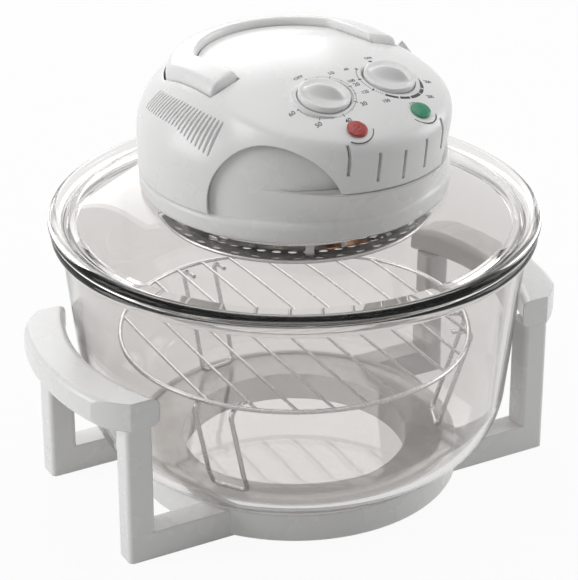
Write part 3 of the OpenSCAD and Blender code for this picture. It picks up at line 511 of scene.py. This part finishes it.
def buildLid(shape):
    low, shelf, spigot = shape["low"], shape["shelf"], shape["spigot"]
    web = low + shape["web"]
    rise = shape["shelfHigh"] - web
    run = shape["groove"] - shelf
    steps = [index / shape["slopeSteps"] for index in range(1, shape["slopeSteps"])]
    under = [step for step in steps if step < shape["slopeEnd"]]
    profile = [(shape["hole"], shape["shelfHigh"]), (shape["hole"], shape["shelfLow"])]
    profile += [(shelf, shape["shelfLow"])]
    for step in under:
        profile.append((shelf + (run - 2) * step, shape["shelfLow"] - (rise - 1) * step ** shape["curve"]))
    tip = low - shape["spigotDepth"]
    profile += [(spigot - shape["spigotWall"], low), (spigot - shape["spigotWall"], tip)]
    profile += [(spigot - shape["spigotEdge"], tip), (spigot, tip + shape["spigotEdge"]), (spigot, low)]
    half = shape["rimHeight"] / 2
    profile += arcPoints((shape["rimRadius"] - half, low + half), half, -90, 150, 28)
    profile += [(shape["groove"] + 2, web + 0.3), (shape["groove"], web - 0.1)]
    for step in reversed(steps):
        profile.append((shelf + run * step, shape["shelfHigh"] - rise * step ** shape["curve"]))
    profile += [(shelf, shape["shelfHigh"])]
    addPiece("lidGlass", revolve(profile), "lidGlass", "lid", ["lid_glass"])


buildBowl(bowlShape)
buildLid(lidShape)
print("glass ready")

# Head: round dome with a nose that carries the control panel, a sphere of its own
headShape = {
    "side": 104.0, "shoulder": 45.0, "shoulderHeight": 252.9, "crown": 255.0, "crownCentre": 51.357,
    "nose": 78.0, "noseY": -40.0, "noseCap": 80.0, "noseEdge": 12.0, "noseTilt": math.asin(26 / 200),
    "panel": 200.0, "panelY": -14.0, "panelCentre": 109.1, "wall": 3.0, "seam": 228.4,
    "noseLow": 249.9, "noseBlend": 9.0, "capBlend": 2.0, "panelBlend": 0.6, "blendHeights": (278, 298),
}
shoulderCentre = headShape["side"] - headShape["shoulder"]
blendTurn = math.atan2(headShape["shoulderHeight"] - headShape["crownCentre"], shoulderCentre)


def softMin(first, second, width):
    share = np.maximum(width - np.abs(first - second), 0) / width
    return np.minimum(first, second) - share * share * width / 4


def domeField(x, y, z):
    radius = np.hypot(x, y)
    rise = z - headShape["shoulderHeight"]
    side = radius - headShape["side"]
    shoulder = np.hypot(radius - shoulderCentre, rise) - headShape["shoulder"]
    crown = np.sqrt(x * x + y * y + (z - headShape["crownCentre"]) ** 2) - headShape["crown"]
    onCrown = np.arctan2(rise, radius - shoulderCentre) > blendTurn
    return np.where(rise < 0, side, np.where(onCrown, crown, shoulder))


def noseField(x, y, z):
    shape = headShape
    plain = np.hypot(x, y - shape["noseY"]) - shape["nose"]
    dy, dz = y - shape["panelY"], z - shape["panelCentre"]
    along = -math.sin(shape["noseTilt"]) * dy + math.cos(shape["noseTilt"]) * dz
    across = math.cos(shape["noseTilt"]) * dy + math.sin(shape["noseTilt"]) * dz
    radius = np.hypot(x, across)
    edgeRadius = shape["noseCap"] - shape["noseEdge"]
    edgeHeight = math.sqrt((shape["panel"] - shape["noseEdge"]) ** 2 - edgeRadius ** 2)
    wall = radius - shape["noseCap"]
    edge = np.hypot(radius - edgeRadius, along - edgeHeight) - shape["noseEdge"]
    top = np.hypot(radius, along) - shape["panel"]
    meet = math.atan2(edgeHeight, edgeRadius)
    onTop = np.arctan2(along - edgeHeight, radius - edgeRadius) > meet
    cap = np.where(along < edgeHeight, wall, np.where(onTop, top, edge))
    return -softMin(-plain, -cap, shape["capBlend"])


def headField(x, y, z):
    width = np.interp(z, headShape["blendHeights"], [headShape["noseBlend"], headShape["panelBlend"]])
    return softMin(domeField(x, y, z), noseField(x, y, z), width)


# Where rays from inside the head meet its skin, found by halving
rayShape = {
    "y": -10.0, "height": 262.0, "near": 4.0, "far": 220.0, "halvings": 44, "columns": 320,
    "lowRows": 16, "highRows": 84,
}


def castRays(level, origin, directions):
    near = np.full(directions.shape[:-1], rayShape["near"])
    far = np.full(directions.shape[:-1], rayShape["far"])
    for _ in range(rayShape["halvings"]):
        middle = (near + far) / 2
        spot = origin + directions * middle[..., None]
        inside = headField(spot[..., 0], spot[..., 1], spot[..., 2]) < level
        near = np.where(inside, middle, near)
        far = np.where(inside, far, middle)
    return origin + directions * near[..., None]


def headSkin(level):
    turns = np.linspace(0, 2 * math.pi, rayShape["columns"], endpoint=False)
    flat = np.stack([np.sin(turns), -np.cos(turns), np.zeros(rayShape["columns"])], axis=-1)
    rows = []
    for height in np.linspace(headShape["seam"], rayShape["height"], rayShape["lowRows"]):
        rows.append(castRays(level, np.array([0, rayShape["y"], height]), flat))
    origin = np.array([0, rayShape["y"], rayShape["height"]])
    for lift in np.linspace(0, math.pi / 2, rayShape["highRows"])[1:-1]:
        directions = flat * math.cos(lift) + np.array([0, 0, math.sin(lift)])
        rows.append(castRays(level, origin, directions))
    rows.append(castRays(level, origin, np.array([[0.0, 0.0, 1.0]])))
    return np.concatenate(rows)


def headShell():
    columns = rayShape["columns"]
    outer, inner = headSkin(0.0), headSkin(-headShape["wall"])
    start = len(outer)
    rows = (start - 1) // columns
    tube = tubeFaces(rows, columns)
    faces = tube + [tuple(start + corner for corner in face) for face in tube]
    last, top = (rows - 1) * columns, start - 1
    for column in range(columns):
        after = (column + 1) % columns
        faces.append((last + column, last + after, top))
        faces.append((start + last + column, start + last + after, start + top))
        faces.append((column, after, start + after, start + column))
    return rawObject("coverShell", np.concatenate([outer, inner]), faces)


def panelHeight(x, y):
    reach = headShape["panel"] ** 2 - x * x - (y - headShape["panelY"]) ** 2
    return float(headShape["panelCentre"] + np.sqrt(reach))


# Height of the dome grown by lift, over a place in plan
def domeTop(x, y, lift):
    radius = math.hypot(x, y)
    crown = headShape["crown"] + lift
    if radius < crown * math.cos(blendTurn):
        return headShape["crownCentre"] + math.sqrt(crown ** 2 - radius ** 2)
    bend = (headShape["shoulder"] + lift) ** 2 - (radius - shoulderCentre) ** 2
    return headShape["shoulderHeight"] + math.sqrt(max(bend, 0))


# Knob and lamp places on the panel, with the tilt of the panel there
controlPlaces = {"knobX": 26.0, "knobY": -66.0, "lampX": 25.2, "lampY": -98.7}
knobTilt = math.asin((headShape["panelY"] - controlPlaces["knobY"]) / headShape["panel"])
lampTilt = math.asin((headShape["panelY"] - controlPlaces["lampY"]) / headShape["panel"])


def onPanel(x, y, tilt, shape):
    points, faces = shape
    base = panelHeight(x, y)
    rise, level = math.sin(tilt), math.cos(tilt)
    placed = [(x + px, y + py * level - pz * rise, base + py * rise + pz * level) for px, py, pz in points]
    return placed, faces


def atKnob(sign, shape):
    return onPanel(sign * controlPlaces["knobX"], controlPlaces["knobY"], knobTilt, shape)


def atLamp(sign, shape):
    return onPanel(sign * controlPlaces["lampX"], controlPlaces["lampY"], lampTilt, shape)


# Carry handle, a bar that follows the dome and ends round at its hinge
handleShape = {
    "inside": 54.0, "outside": 75.0, "eye": 64.0, "bow": 84.0, "down": 6.0, "up": 6.0, "hingeY": -4.0,
    "endRadius": 9.2, "swing": 0.5, "innerRound": 3.2, "outerRound": 5.5, "cornerRound": 3.0,
    "armEnd": 26.0, "cutRound": 0.4,
}
hingeHeight = domeTop(handleShape["inside"] + 3, handleShape["hingeY"], 0) - 2.4


# Pairs of inner and outer plan points, from the left front end round to the right one
def handlePlan(grow, endRadius, rounds):
    shape = handleShape
    inside, outside = shape["inside"] - grow, shape["outside"] + grow
    eye = shape["eye"] - grow
    bow = shape["bow"] + grow + (0.0 if rounds else shape["swing"])
    hingeY, corner = shape["hingeY"], shape["cornerRound"]
    frontY = hingeY - endRadius * 0.998
    bend = [frontY + (hingeY - frontY) * (1 - math.cos(math.pi / 2 * index / 12)) for index in range(12)]
    plan = []
    for row in bend + [hingeY + step for step in np.linspace(0, 30, 16)]:
        short = max(0.0, corner - (row - frontY))
        inset = corner - math.sqrt(corner ** 2 - short ** 2) if rounds else 0.0
        plan.append(((-inside - inset, row), (-outside + inset, row)))
    innerMeet = math.sqrt(eye ** 2 - inside ** 2)
    outerMeet = math.sqrt(bow ** 2 - outside ** 2)
    middles = [(shape["armEnd"] + meet) / 2 for meet in (innerMeet, outerMeet)]
    plan.append(((-inside, middles[0]), (-outside, middles[1])))
    half = len(plan)
    starts = [math.pi - math.atan2(innerMeet, inside), math.pi - math.atan2(outerMeet, outside)]
    for index in range(49):
        turns = [start + (math.pi - 2 * start) * index / 48 for start in starts]
        inner = (eye * math.cos(turns[0]), eye * math.sin(turns[0]))
        plan.append((inner, (bow * math.cos(turns[1]), bow * math.sin(turns[1]))))
    plan += [((-inner[0], inner[1]), (-outer[0], outer[1])) for inner, outer in reversed(plan[:half])]
    return plan


# Section as (distance across, lift over the dome)
def handleSection(width, down, up, innerRound, outerRound):
    innerTurns = np.linspace(0, math.pi / 2, 7)
    outerTurns = np.linspace(0, math.pi / 2, 9)
    innerLow, outerLow = up - innerRound, up - outerRound
    ring = [(0.0, -down), (0.0, (innerLow - down) / 2)]
    ring += [(innerRound * (1 - math.cos(turn)), innerLow + innerRound * math.sin(turn))
        for turn in innerTurns]
    ring += [(width * share, up) for share in (0.3, 0.45, 0.6)]
    ring += [(width - outerRound * (1 - math.sin(turn)), outerLow + outerRound * math.cos(turn))
        for turn in outerTurns]
    ring += [(width, (outerLow - down) / 2)]
    return ring + [(width * share, -down) for share in (1.0, 0.66, 0.33)]


# Height at the round end: under and in front of the hinge the section follows a circle
def endHeight(y, height, isLow, endRadius, openTop):
    reach = y - handleShape["hingeY"]
    if reach >= endRadius:
        return height
    bulge = math.sqrt(max(endRadius ** 2 - reach ** 2, 0.0))
    if reach >= 0:
        return min(height, hingeHeight - bulge) if isLow else height
    if isLow:
        return hingeHeight - bulge
    height = max(height, hingeHeight - bulge)
    return height if openTop else min(height, hingeHeight + bulge)


def handleSweep(grow, down, up, endRadius, openTop, rounds):
    shape = handleShape
    innerRound = shape["innerRound"] if rounds else shape["cutRound"]
    outerRound = shape["outerRound"] if rounds else shape["cutRound"]
    plan = handlePlan(grow, endRadius, rounds)
    points = []
    for (innerX, innerY), (outerX, outerY) in plan:
        width = math.hypot(outerX - innerX, outerY - innerY)
        for across, lift in handleSection(width, down, up, innerRound, outerRound):
            x = innerX + (outerX - innerX) * across / width
            y = innerY + (outerY - innerY) * across / width
            height = domeTop(x, y, lift)
            points.append((x, y, endHeight(y, height, lift == -down, endRadius, openTop)))
    return points, tubeFaces(len(plan), len(points) // len(plan), capped=True)


# Cover details: arches, room over the chin, side grooves, grille, wells and holes
coverDetails = {
    "archRadius": 44.0, "archTurn": 43.5, "archHeight": 235.9, "archReach": (86.0, 160.0),
    "archSteps": 160, "sectorReach": (85.0, 150.0), "sectorLow": 200.0, "sectorSteps": 60,
    "grille": 5, "grilleStep": 18.4, "grilleWidth": 2.0, "grilleLow": 254.4, "grilleRise": 0.006,
    "grilleHeight": 20, "grilleDepth": 10, "liner": 2.7, "gap": 0.8, "bossTop": -1.5,
    "bossLow": -6.0, "bossRadius": 20.1, "lampHole": 5.3, "cutTop": 12, "traySkin": 1.5,
}
grooveShape = {
    "count": 22, "start": 66.5, "step": 2.1, "lean": 2.2, "width": 1.5, "depth": 1.5, "high": 286.0,
    "arch": 2.6, "length": 18.0, "shorter": 6.5, "shortRows": 9, "stretch": 1.08,
}


def archCutter(sign):
    details = coverDetails
    turn = math.radians(sign * details["archTurn"])
    outward = np.array([math.sin(turn), -math.cos(turn), 0])
    across = np.array([math.cos(turn), math.sin(turn), 0])
    points = []
    for reach in details["archReach"]:
        for index in range(details["archSteps"]):
            angle = 2 * math.pi * index / details["archSteps"]
            height = details["archHeight"] + details["archRadius"] * math.sin(angle)
            place = outward * reach + across * details["archRadius"] * math.cos(angle)
            points.append((place[0], place[1], height))
    return points, tubeFaces(2, details["archSteps"], capped=True)


def sectorCutter():
    details = coverDetails
    near, far = details["sectorReach"]
    steps = details["sectorSteps"]
    points = []
    for index in range(steps + 1):
        turn = math.radians(details["archTurn"]) * (2 * index / steps - 1)
        for radius, height in ((near, details["sectorLow"]), (far, details["sectorLow"]),
                (far, headShape["noseLow"]), (near, headShape["noseLow"])):
            points.append((radius * math.sin(turn), -radius * math.cos(turn), height))
    return points, tubeFaces(steps + 1, 4, capped=True)


# One shallow groove between a low and a high point of the shoulder
def grooveCutter(sign, index):
    shape = grooveShape
    highTurn = math.radians(shape["start"] + index * shape["step"])
    high = shape["high"] + shape["arch"] * math.sin(math.pi * index / (shape["count"] - 1))
    shortened = shape["shorter"] * min(index, shape["shortRows"]) / shape["shortRows"]
    low = high - (shape["length"] - shortened)
    ends = []
    for turn, height in ((highTurn + math.radians(shape["lean"]), low), (highTurn, high)):
        rise = height - headShape["shoulderHeight"]
        radius = shoulderCentre + math.sqrt(headShape["shoulder"] ** 2 - rise ** 2)
        ends.append(np.array([sign * radius * math.sin(turn), -radius * math.cos(turn), height]))
    middle = (ends[0] + ends[1]) / 2
    length = np.linalg.norm(ends[1] - ends[0])
    along = (ends[1] - ends[0]) / length
    normal = np.array([middle[0], middle[1], 0]) / np.hypot(middle[0], middle[1])
    normal = normal - along * np.dot(normal, along)
    normal = normal / np.linalg.norm(normal)
    across = np.cross(along, normal)
    flank = [(1.0, 4.0), (0.62, 0.9), (0.3, -0.7 * shape["depth"])]  # share of the width, height
    outline = [(-share, rise) for share, rise in flank] + [(0.0, -shape["depth"])] + flank[::-1]
    points = []
    for place, pinch in ((-0.5, 0.25), (-0.44, 0.8), (0.0, 1.0), (0.44, 0.8), (0.5, 0.25)):
        centre = middle + along * length * place * shape["stretch"]
        for share, rise in outline:
            points.append(tuple(centre + across * share * shape["width"] * pinch + normal * rise))
    return points, tubeFaces(5, len(outline), capped=True)


def grilleCutter(index):
    details = coverDetails
    x = index * details["grilleStep"]
    front = headShape["noseY"] - math.sqrt(headShape["nose"] ** 2 - x * x) + 1
    low = details["grilleLow"] + details["grilleRise"] * x * x
    half, depth = details["grilleWidth"] / 2, details["grilleDepth"] / 2
    points = []
    for height in (low, low + details["grilleHeight"]):
        points += [(x - half, front - depth, height), (x + half, front - depth, height)]
        points += [(x + half, front + depth, height), (x - half, front + depth, height)]
    return points, tubeFaces(2, 4, capped=True)


def buildCover():
    details = coverDetails
    top = details["cutTop"]
    wellProfile = [(0, -3.5), (16.6, -3.5), (17.4, -2.8), (17.6, -0.9), (17.75, -0.35), (18.1, 0.05),
        (18.6, 0.3), (18.6, top), (0, top)]
    bossProfile = [(0, details["bossLow"]), (details["bossRadius"], details["bossLow"]),
        (details["bossRadius"], details["bossTop"]), (0, details["bossTop"])]
    holeProfile = [(0, -top), (details["lampHole"], -top), (details["lampHole"], top), (0, top)]
    bosses, small = [], []
    for sign in (-1, 1):
        bosses.append(atKnob(sign, revolve(bossProfile, steps=96, closed=False)))
        small.append(atKnob(sign, revolve(wellProfile, steps=128, closed=False)))
        small.append(atLamp(sign, revolve(holeProfile, steps=64, closed=False)))
        small += [grooveCutter(sign, index) for index in range(grooveShape["count"])]
    small += [grilleCutter(index - details["grille"] // 2) for index in range(details["grille"])]
    trayGrow = details["gap"] + details["liner"]
    floor = handleShape["down"] + details["gap"]
    endRadius = handleShape["endRadius"]
    trayLow, trayTop = floor + details["liner"], -details["traySkin"]
    tray = handleSweep(trayGrow, trayLow, trayTop, endRadius + trayGrow, False, False)
    room = handleSweep(details["gap"], floor, 20.0, endRadius + details["gap"], True, False)
    cover = headShell()
    combine(cover, "handleTray", tray, "UNION")
    combine(cover, "knobBosses", mergeParts(bosses), "UNION")
    combine(cover, "archLeft", archCutter(-1))
    combine(cover, "archRight", archCutter(1))
    combine(cover, "noseRoom", sectorCutter())
    combine(cover, "handleRoom", room)
    combine(cover, "smallCuts", mergeParts(small))
    finishPiece(cover, "whitePlastic", "lid", ["upper_cover"], 32)


buildCover()
print("cover ready")

# Lower housing: collar, walls behind the arches and the chin under the nose
housingShape = {
    "gap": 4.3, "wall": 2.4, "chinLow": 219.0, "chinLowRadius": 60.0, "chinHigh": 249.3,
    "chinHighRadius": 75.0, "turn": 78.0, "top": 279.0, "blend": 7.0, "columns": 360, "seam": 228.2,
    "inner": 20.0, "floorLow": 214.6, "floorHigh": 217.6, "foot": 213.7, "footRadius": 98.5,
}
collarProfile = [(213.7, 100.6), (215.0, 102.6), (217.4, 103.4), (224.5, 103.6), (226.4, 102.8),
    (227.6, 101.0), (228.2, 99.8)]


def housingRadius(turn, height):
    shape = housingShape
    collar = float(np.interp(height, *zip(*collarProfile)))
    if height > shape["seam"]:
        rise = max(height - headShape["shoulderHeight"], 0.0)
        collar = shoulderCentre + math.sqrt(headShape["shoulder"] ** 2 - rise ** 2) - shape["gap"]
    heights = [shape["chinLow"], shape["chinHigh"]]
    spread = np.interp(height, heights, [shape["chinLowRadius"], shape["chinHighRadius"]])
    centre = -headShape["noseY"]
    root = spread ** 2 - (centre * math.sin(turn)) ** 2
    if height > shape["chinHigh"] + 0.05 or root <= 0 or math.cos(turn) < 0:
        return collar
    chin = centre * math.cos(turn) + math.sqrt(root)
    return float(-softMin(-collar, -chin, shape["blend"]))


# One column of the housing, closed from the inner floor edge up the outside and back inside
def housingOutline(degrees):
    shape = housingShape
    turn = math.radians(degrees)
    low = [213.7, 214.3, 215.0, 216.0, 217.4, 219.0, 221.0, 223.0, 224.5, 225.6, 226.4, 227.1, 227.6, 228.2]
    tall = list(np.linspace(229.2, 249.25, 20)) + [249.5] + list(np.linspace(251, shape["top"], 18))
    outline = [(shape["inner"], shape["floorLow"]), (shape["footRadius"], shape["floorLow"])]
    outline += [(shape["footRadius"], shape["foot"])]
    outline += [(housingRadius(turn, height), height) for height in low]
    if abs((degrees + 180) % 360 - 180) <= shape["turn"]:
        wall = [(housingRadius(turn, height), height) for height in tall]
        outline += wall + [(radius - shape["wall"], height) for radius, height in reversed(wall)]
    else:
        outline += [(100.0 - 2.4 * (height - 229) / 50, shape["seam"]) for height in tall]
        outline += [(97.4, shape["seam"])] * len(tall)
    return outline + [(97.0, 226.0), (97.0, shape["floorHigh"]), (shape["inner"], shape["floorHigh"])]


def buildHousing():
    columns = housingShape["columns"]
    points = []
    for column in range(columns):
        turn = math.radians(column * 360 / columns)
        for radius, height in housingOutline(column * 360 / columns):
            points.append((radius * math.sin(turn), -radius * math.cos(turn), height))
    count = len(points) // columns
    faces = tubeFaces(columns, count)
    last = (columns - 1) * count
    faces += [(last + row, row, (row + 1) % count, last + (row + 1) % count) for row in range(count)]
    shell = (points, faces)
    addPiece("housingShell", shell, "whitePlastic", "lid", ["lower_housing"], 40)


def buildHandle(shape):
    bar = handleSweep(0.0, shape["down"], shape["up"], shape["endRadius"], False, True)
    addPiece("liftHandle", bar, "whitePlastic", "handle", ["carry_handle"], 34)


buildHousing()
buildHandle(handleShape)
print("housing and handle ready")

# Knobs: a dished disc with a soft ridge across it
knobShape = {
    "radius": 16.8, "rim": 2.6, "dish": 0.9, "low": -3.2, "edge": 1.0, "foot": 0.7, "ridge": 8.4,
    "ridgeWidth": 4.6, "ridgeReach": 14.6, "ridgeTurn": -45, "blend": 2.4, "rings": 26, "columns": 120,
}


def knobHeight(along, across, radius):
    shape = knobShape
    edge = shape["radius"] - radius
    if edge < shape["edge"]:
        disc = shape["rim"] - 1.0 + math.sqrt(max(1.0 - (1.0 - edge) ** 2, 0.0))
    else:
        share = min(1.0, radius / shape["radius"] / 0.92) ** 3
        disc = shape["dish"] + (shape["rim"] - shape["dish"]) * share
    if edge <= 0.6:
        return disc
    reach = min(abs(along) / shape["ridgeReach"], 1.0)
    width = shape["ridgeWidth"] * (0.62 + 0.5 * (1 - reach ** 2))
    ridge = shape["ridge"] * (1 - reach ** 2.6) * math.exp(-(across / width) ** 2 * 1.15)
    return float(-softMin(-disc, -ridge, shape["blend"]))


def knobMesh():
    shape = knobShape
    radius, columns = shape["radius"], shape["columns"]
    lay = math.radians(shape["ridgeTurn"])
    rings = [(ring, None) for ring in np.linspace(0.4, radius - shape["edge"], shape["rings"])]
    rings += [(radius - 0.5, None), (radius - 0.15, None), (radius, None)]
    rings += [(radius, shape["low"] + shape["foot"]), (radius - shape["foot"], shape["low"])]
    points = []
    for ring, height in rings:
        for column in range(columns):
            angle = 2 * math.pi * column / columns
            top = height
            if top is None:
                top = knobHeight(ring * math.cos(angle - lay), ring * math.sin(angle - lay), ring)
            points.append((ring * math.cos(angle), ring * math.sin(angle), top))
    return points, tubeFaces(len(rings), columns, capped=True)


knobPieces = {
    "timerKnob": (-1, "timer", "timer_knob"), "heatKnob": (1, "thermostat", "thermostat_knob"),
}
for name, (sign, body, node) in knobPieces.items():
    addPiece(name, atKnob(sign, knobMesh()), "whitePlastic", body, [node], 50)

# Lamp lenses with a low crown
lensShape = {"radius": 6.7, "stem": 5.2, "low": -8.0, "foot": 0.5, "edge": 1.1, "crown": 2.2}


def lensMesh():
    shape = lensShape
    radius, edge, foot = shape["radius"], shape["edge"], shape["foot"]
    profile = [(0, shape["low"]), (shape["stem"], shape["low"]), (shape["stem"], foot)]
    profile += [(radius, foot), (radius, edge)]
    for turn in np.linspace(0.12, math.pi / 2 - 0.02, 12):
        profile.append((radius * math.cos(turn), edge + (shape["crown"] - edge) * math.sin(turn)))
    profile.append((0, shape["crown"]))
    return revolve(profile, steps=72, closed=False)


addPiece("powerLens", atLamp(-1, lensMesh()), "redLens", "lid", ["power_lamp_lens"], 40)
addPiece("heatLens", atLamp(1, lensMesh()), "greenLens", "lid", ["heat_lamp_lens"], 40)

# Dial marks: thin pads of ink on the panel, with plain numbers. Turns run clockwise from the rear
dialShape = {
    "lift": 0.12, "sink": 0.1, "text": 4.6, "textLift": 0.12, "textBold": 0.02,
    "numberRing": 26.2, "lampArc": (10.3, 10.9), "lampTurns": (112, 236),
}
timerDial = {"ring": 20.4, "minutes": 60, "start": 2, "sweep": 266, "off": (25.4, -4), "offSize": 0.85}
heatDial = {
    "ring": 21.4, "off": (26.2, 6), "textSize": 0.8, "textOut": 1.4,
    "dot": (-1, 6, 0.9), "wedge": (12, 128, 0.12, 1.1),
    "blocks": ((132, 148, 1.1), (151, 176, 1.1), (179, 198, 1.0), (201, 224, 0.9)),
    "fine": (24, 228, 3.8, 1.6, 0.3), "ticks": (246, 280, 315),
    "numbers": (("65", 309), ("100", 279), ("125", 251), ("150", 221), ("175", 184), ("200", 143),
        ("250", 103)),
}


def around(x, y, tilt):
    def place(radius, degrees):
        turn = math.radians(degrees)
        return (x + radius * math.sin(turn), y + radius * math.cos(turn) * math.cos(tilt))
    return place


def panelPad(outline):
    points = [(x, y, panelHeight(x, y) + dialShape["lift"]) for x, y in outline]
    points += [(x, y, panelHeight(x, y) - dialShape["sink"]) for x, y in outline]
    return points, tubeFaces(2, len(outline), capped=True)


# Pad along an arc, from one half width to another
def arcPad(place, ring, halves, start, end, steps):
    shares = [index / steps for index in range(steps + 1)]
    outline = []
    for side, row in ((1, shares), (-1, shares[::-1])):
        for share in row:
            half = halves[0] + (halves[1] - halves[0]) * share
            outline.append(place(ring + side * half, start + (end - start) * share))
    return panelPad(outline)


def textPad(words, centre, size):
    curve = bpy.data.curves.new("dialNumber", "FONT")
    curve.body = words
    curve.size = size
    curve.align_x = "CENTER"
    curve.align_y = "CENTER"
    curve.resolution_u = 4
    curve.extrude = dialShape["textLift"]
    curve.offset = dialShape["textBold"]
    holder = bpy.data.objects.new("dialNumber", curve)
    scene.collection.objects.link(holder)
    bpy.context.view_layer.update()
    mesh = bpy.data.meshes.new_from_object(holder.evaluated_get(bpy.context.evaluated_depsgraph_get()))
    points = []
    for vertex in mesh.vertices:
        x, y = centre[0] + vertex.co.x, centre[1] + vertex.co.y
        points.append((x, y, panelHeight(x, y) + vertex.co.z))
    faces = [tuple(face.vertices) for face in mesh.polygons]
    bpy.data.objects.remove(holder)
    bpy.data.meshes.remove(mesh)
    return points, faces


def timerPads(place):
    dial, size = timerDial, dialShape["text"]
    pads = []
    for index in range(dial["minutes"] + 1):
        turn = dial["start"] + dial["sweep"] * index / dial["minutes"]
        isTen = index % 10 == 0
        reach = 1.2 if isTen else (0.75 if index % 5 == 0 else 0.35)
        spread = 0.85 if isTen else 0.6
        pads.append(arcPad(place, dial["ring"], (reach, reach), turn - spread, turn + spread, 2))
        if isTen and index:
            pads.append(textPad(str(index), place(dialShape["numberRing"] - 0.6, turn), size))
    pads.append(textPad("OFF", place(*dial["off"]), size * dial["offSize"]))
    return pads


def heatPads(place):
    dial, ring = heatDial, heatDial["ring"]
    size = dialShape["text"] * dial["textSize"]
    start, end, thin, thick = dial["wedge"]
    pads = [arcPad(place, ring, (dial["dot"][2],) * 2, *dial["dot"][:2], 4)]
    pads.append(arcPad(place, ring, (thin, thick), start, end, 40))
    for start, end, half in dial["blocks"]:
        pads.append(arcPad(place, ring, (half, half), start, end, 10))
    count, first, step, length, half = dial["fine"]
    for index in range(count):
        turn = first + index * step
        pads.append(arcPad(place, ring, (half, half), turn, turn + length, 2))
    pads += [arcPad(place, ring, (1.2, 1.2), turn - 1, turn + 1, 2) for turn in dial["ticks"]]
    for words, turn in dial["numbers"]:
        pads.append(textPad(words, place(dialShape["numberRing"] + dial["textOut"], turn), size))
    pads.append(textPad("OFF", place(*dial["off"]), size))
    return pads


def buildDials():
    knobY, lampY = controlPlaces["knobY"], controlPlaces["lampY"]
    pads = timerPads(around(-controlPlaces["knobX"], knobY, knobTilt))
    pads += heatPads(around(controlPlaces["knobX"], knobY, knobTilt))
    inner, outer = dialShape["lampArc"]
    half = (outer - inner) / 2
    for sign in (-1, 1):
        place = around(sign * controlPlaces["lampX"], lampY, lampTilt)
        pads.append(arcPad(place, inner + half, (half, half), *dialShape["lampTurns"], 30))
    addPiece("dialMarks", mergeParts(pads), "dialInk", "lid", (), 40)


buildDials()
print("controls ready")
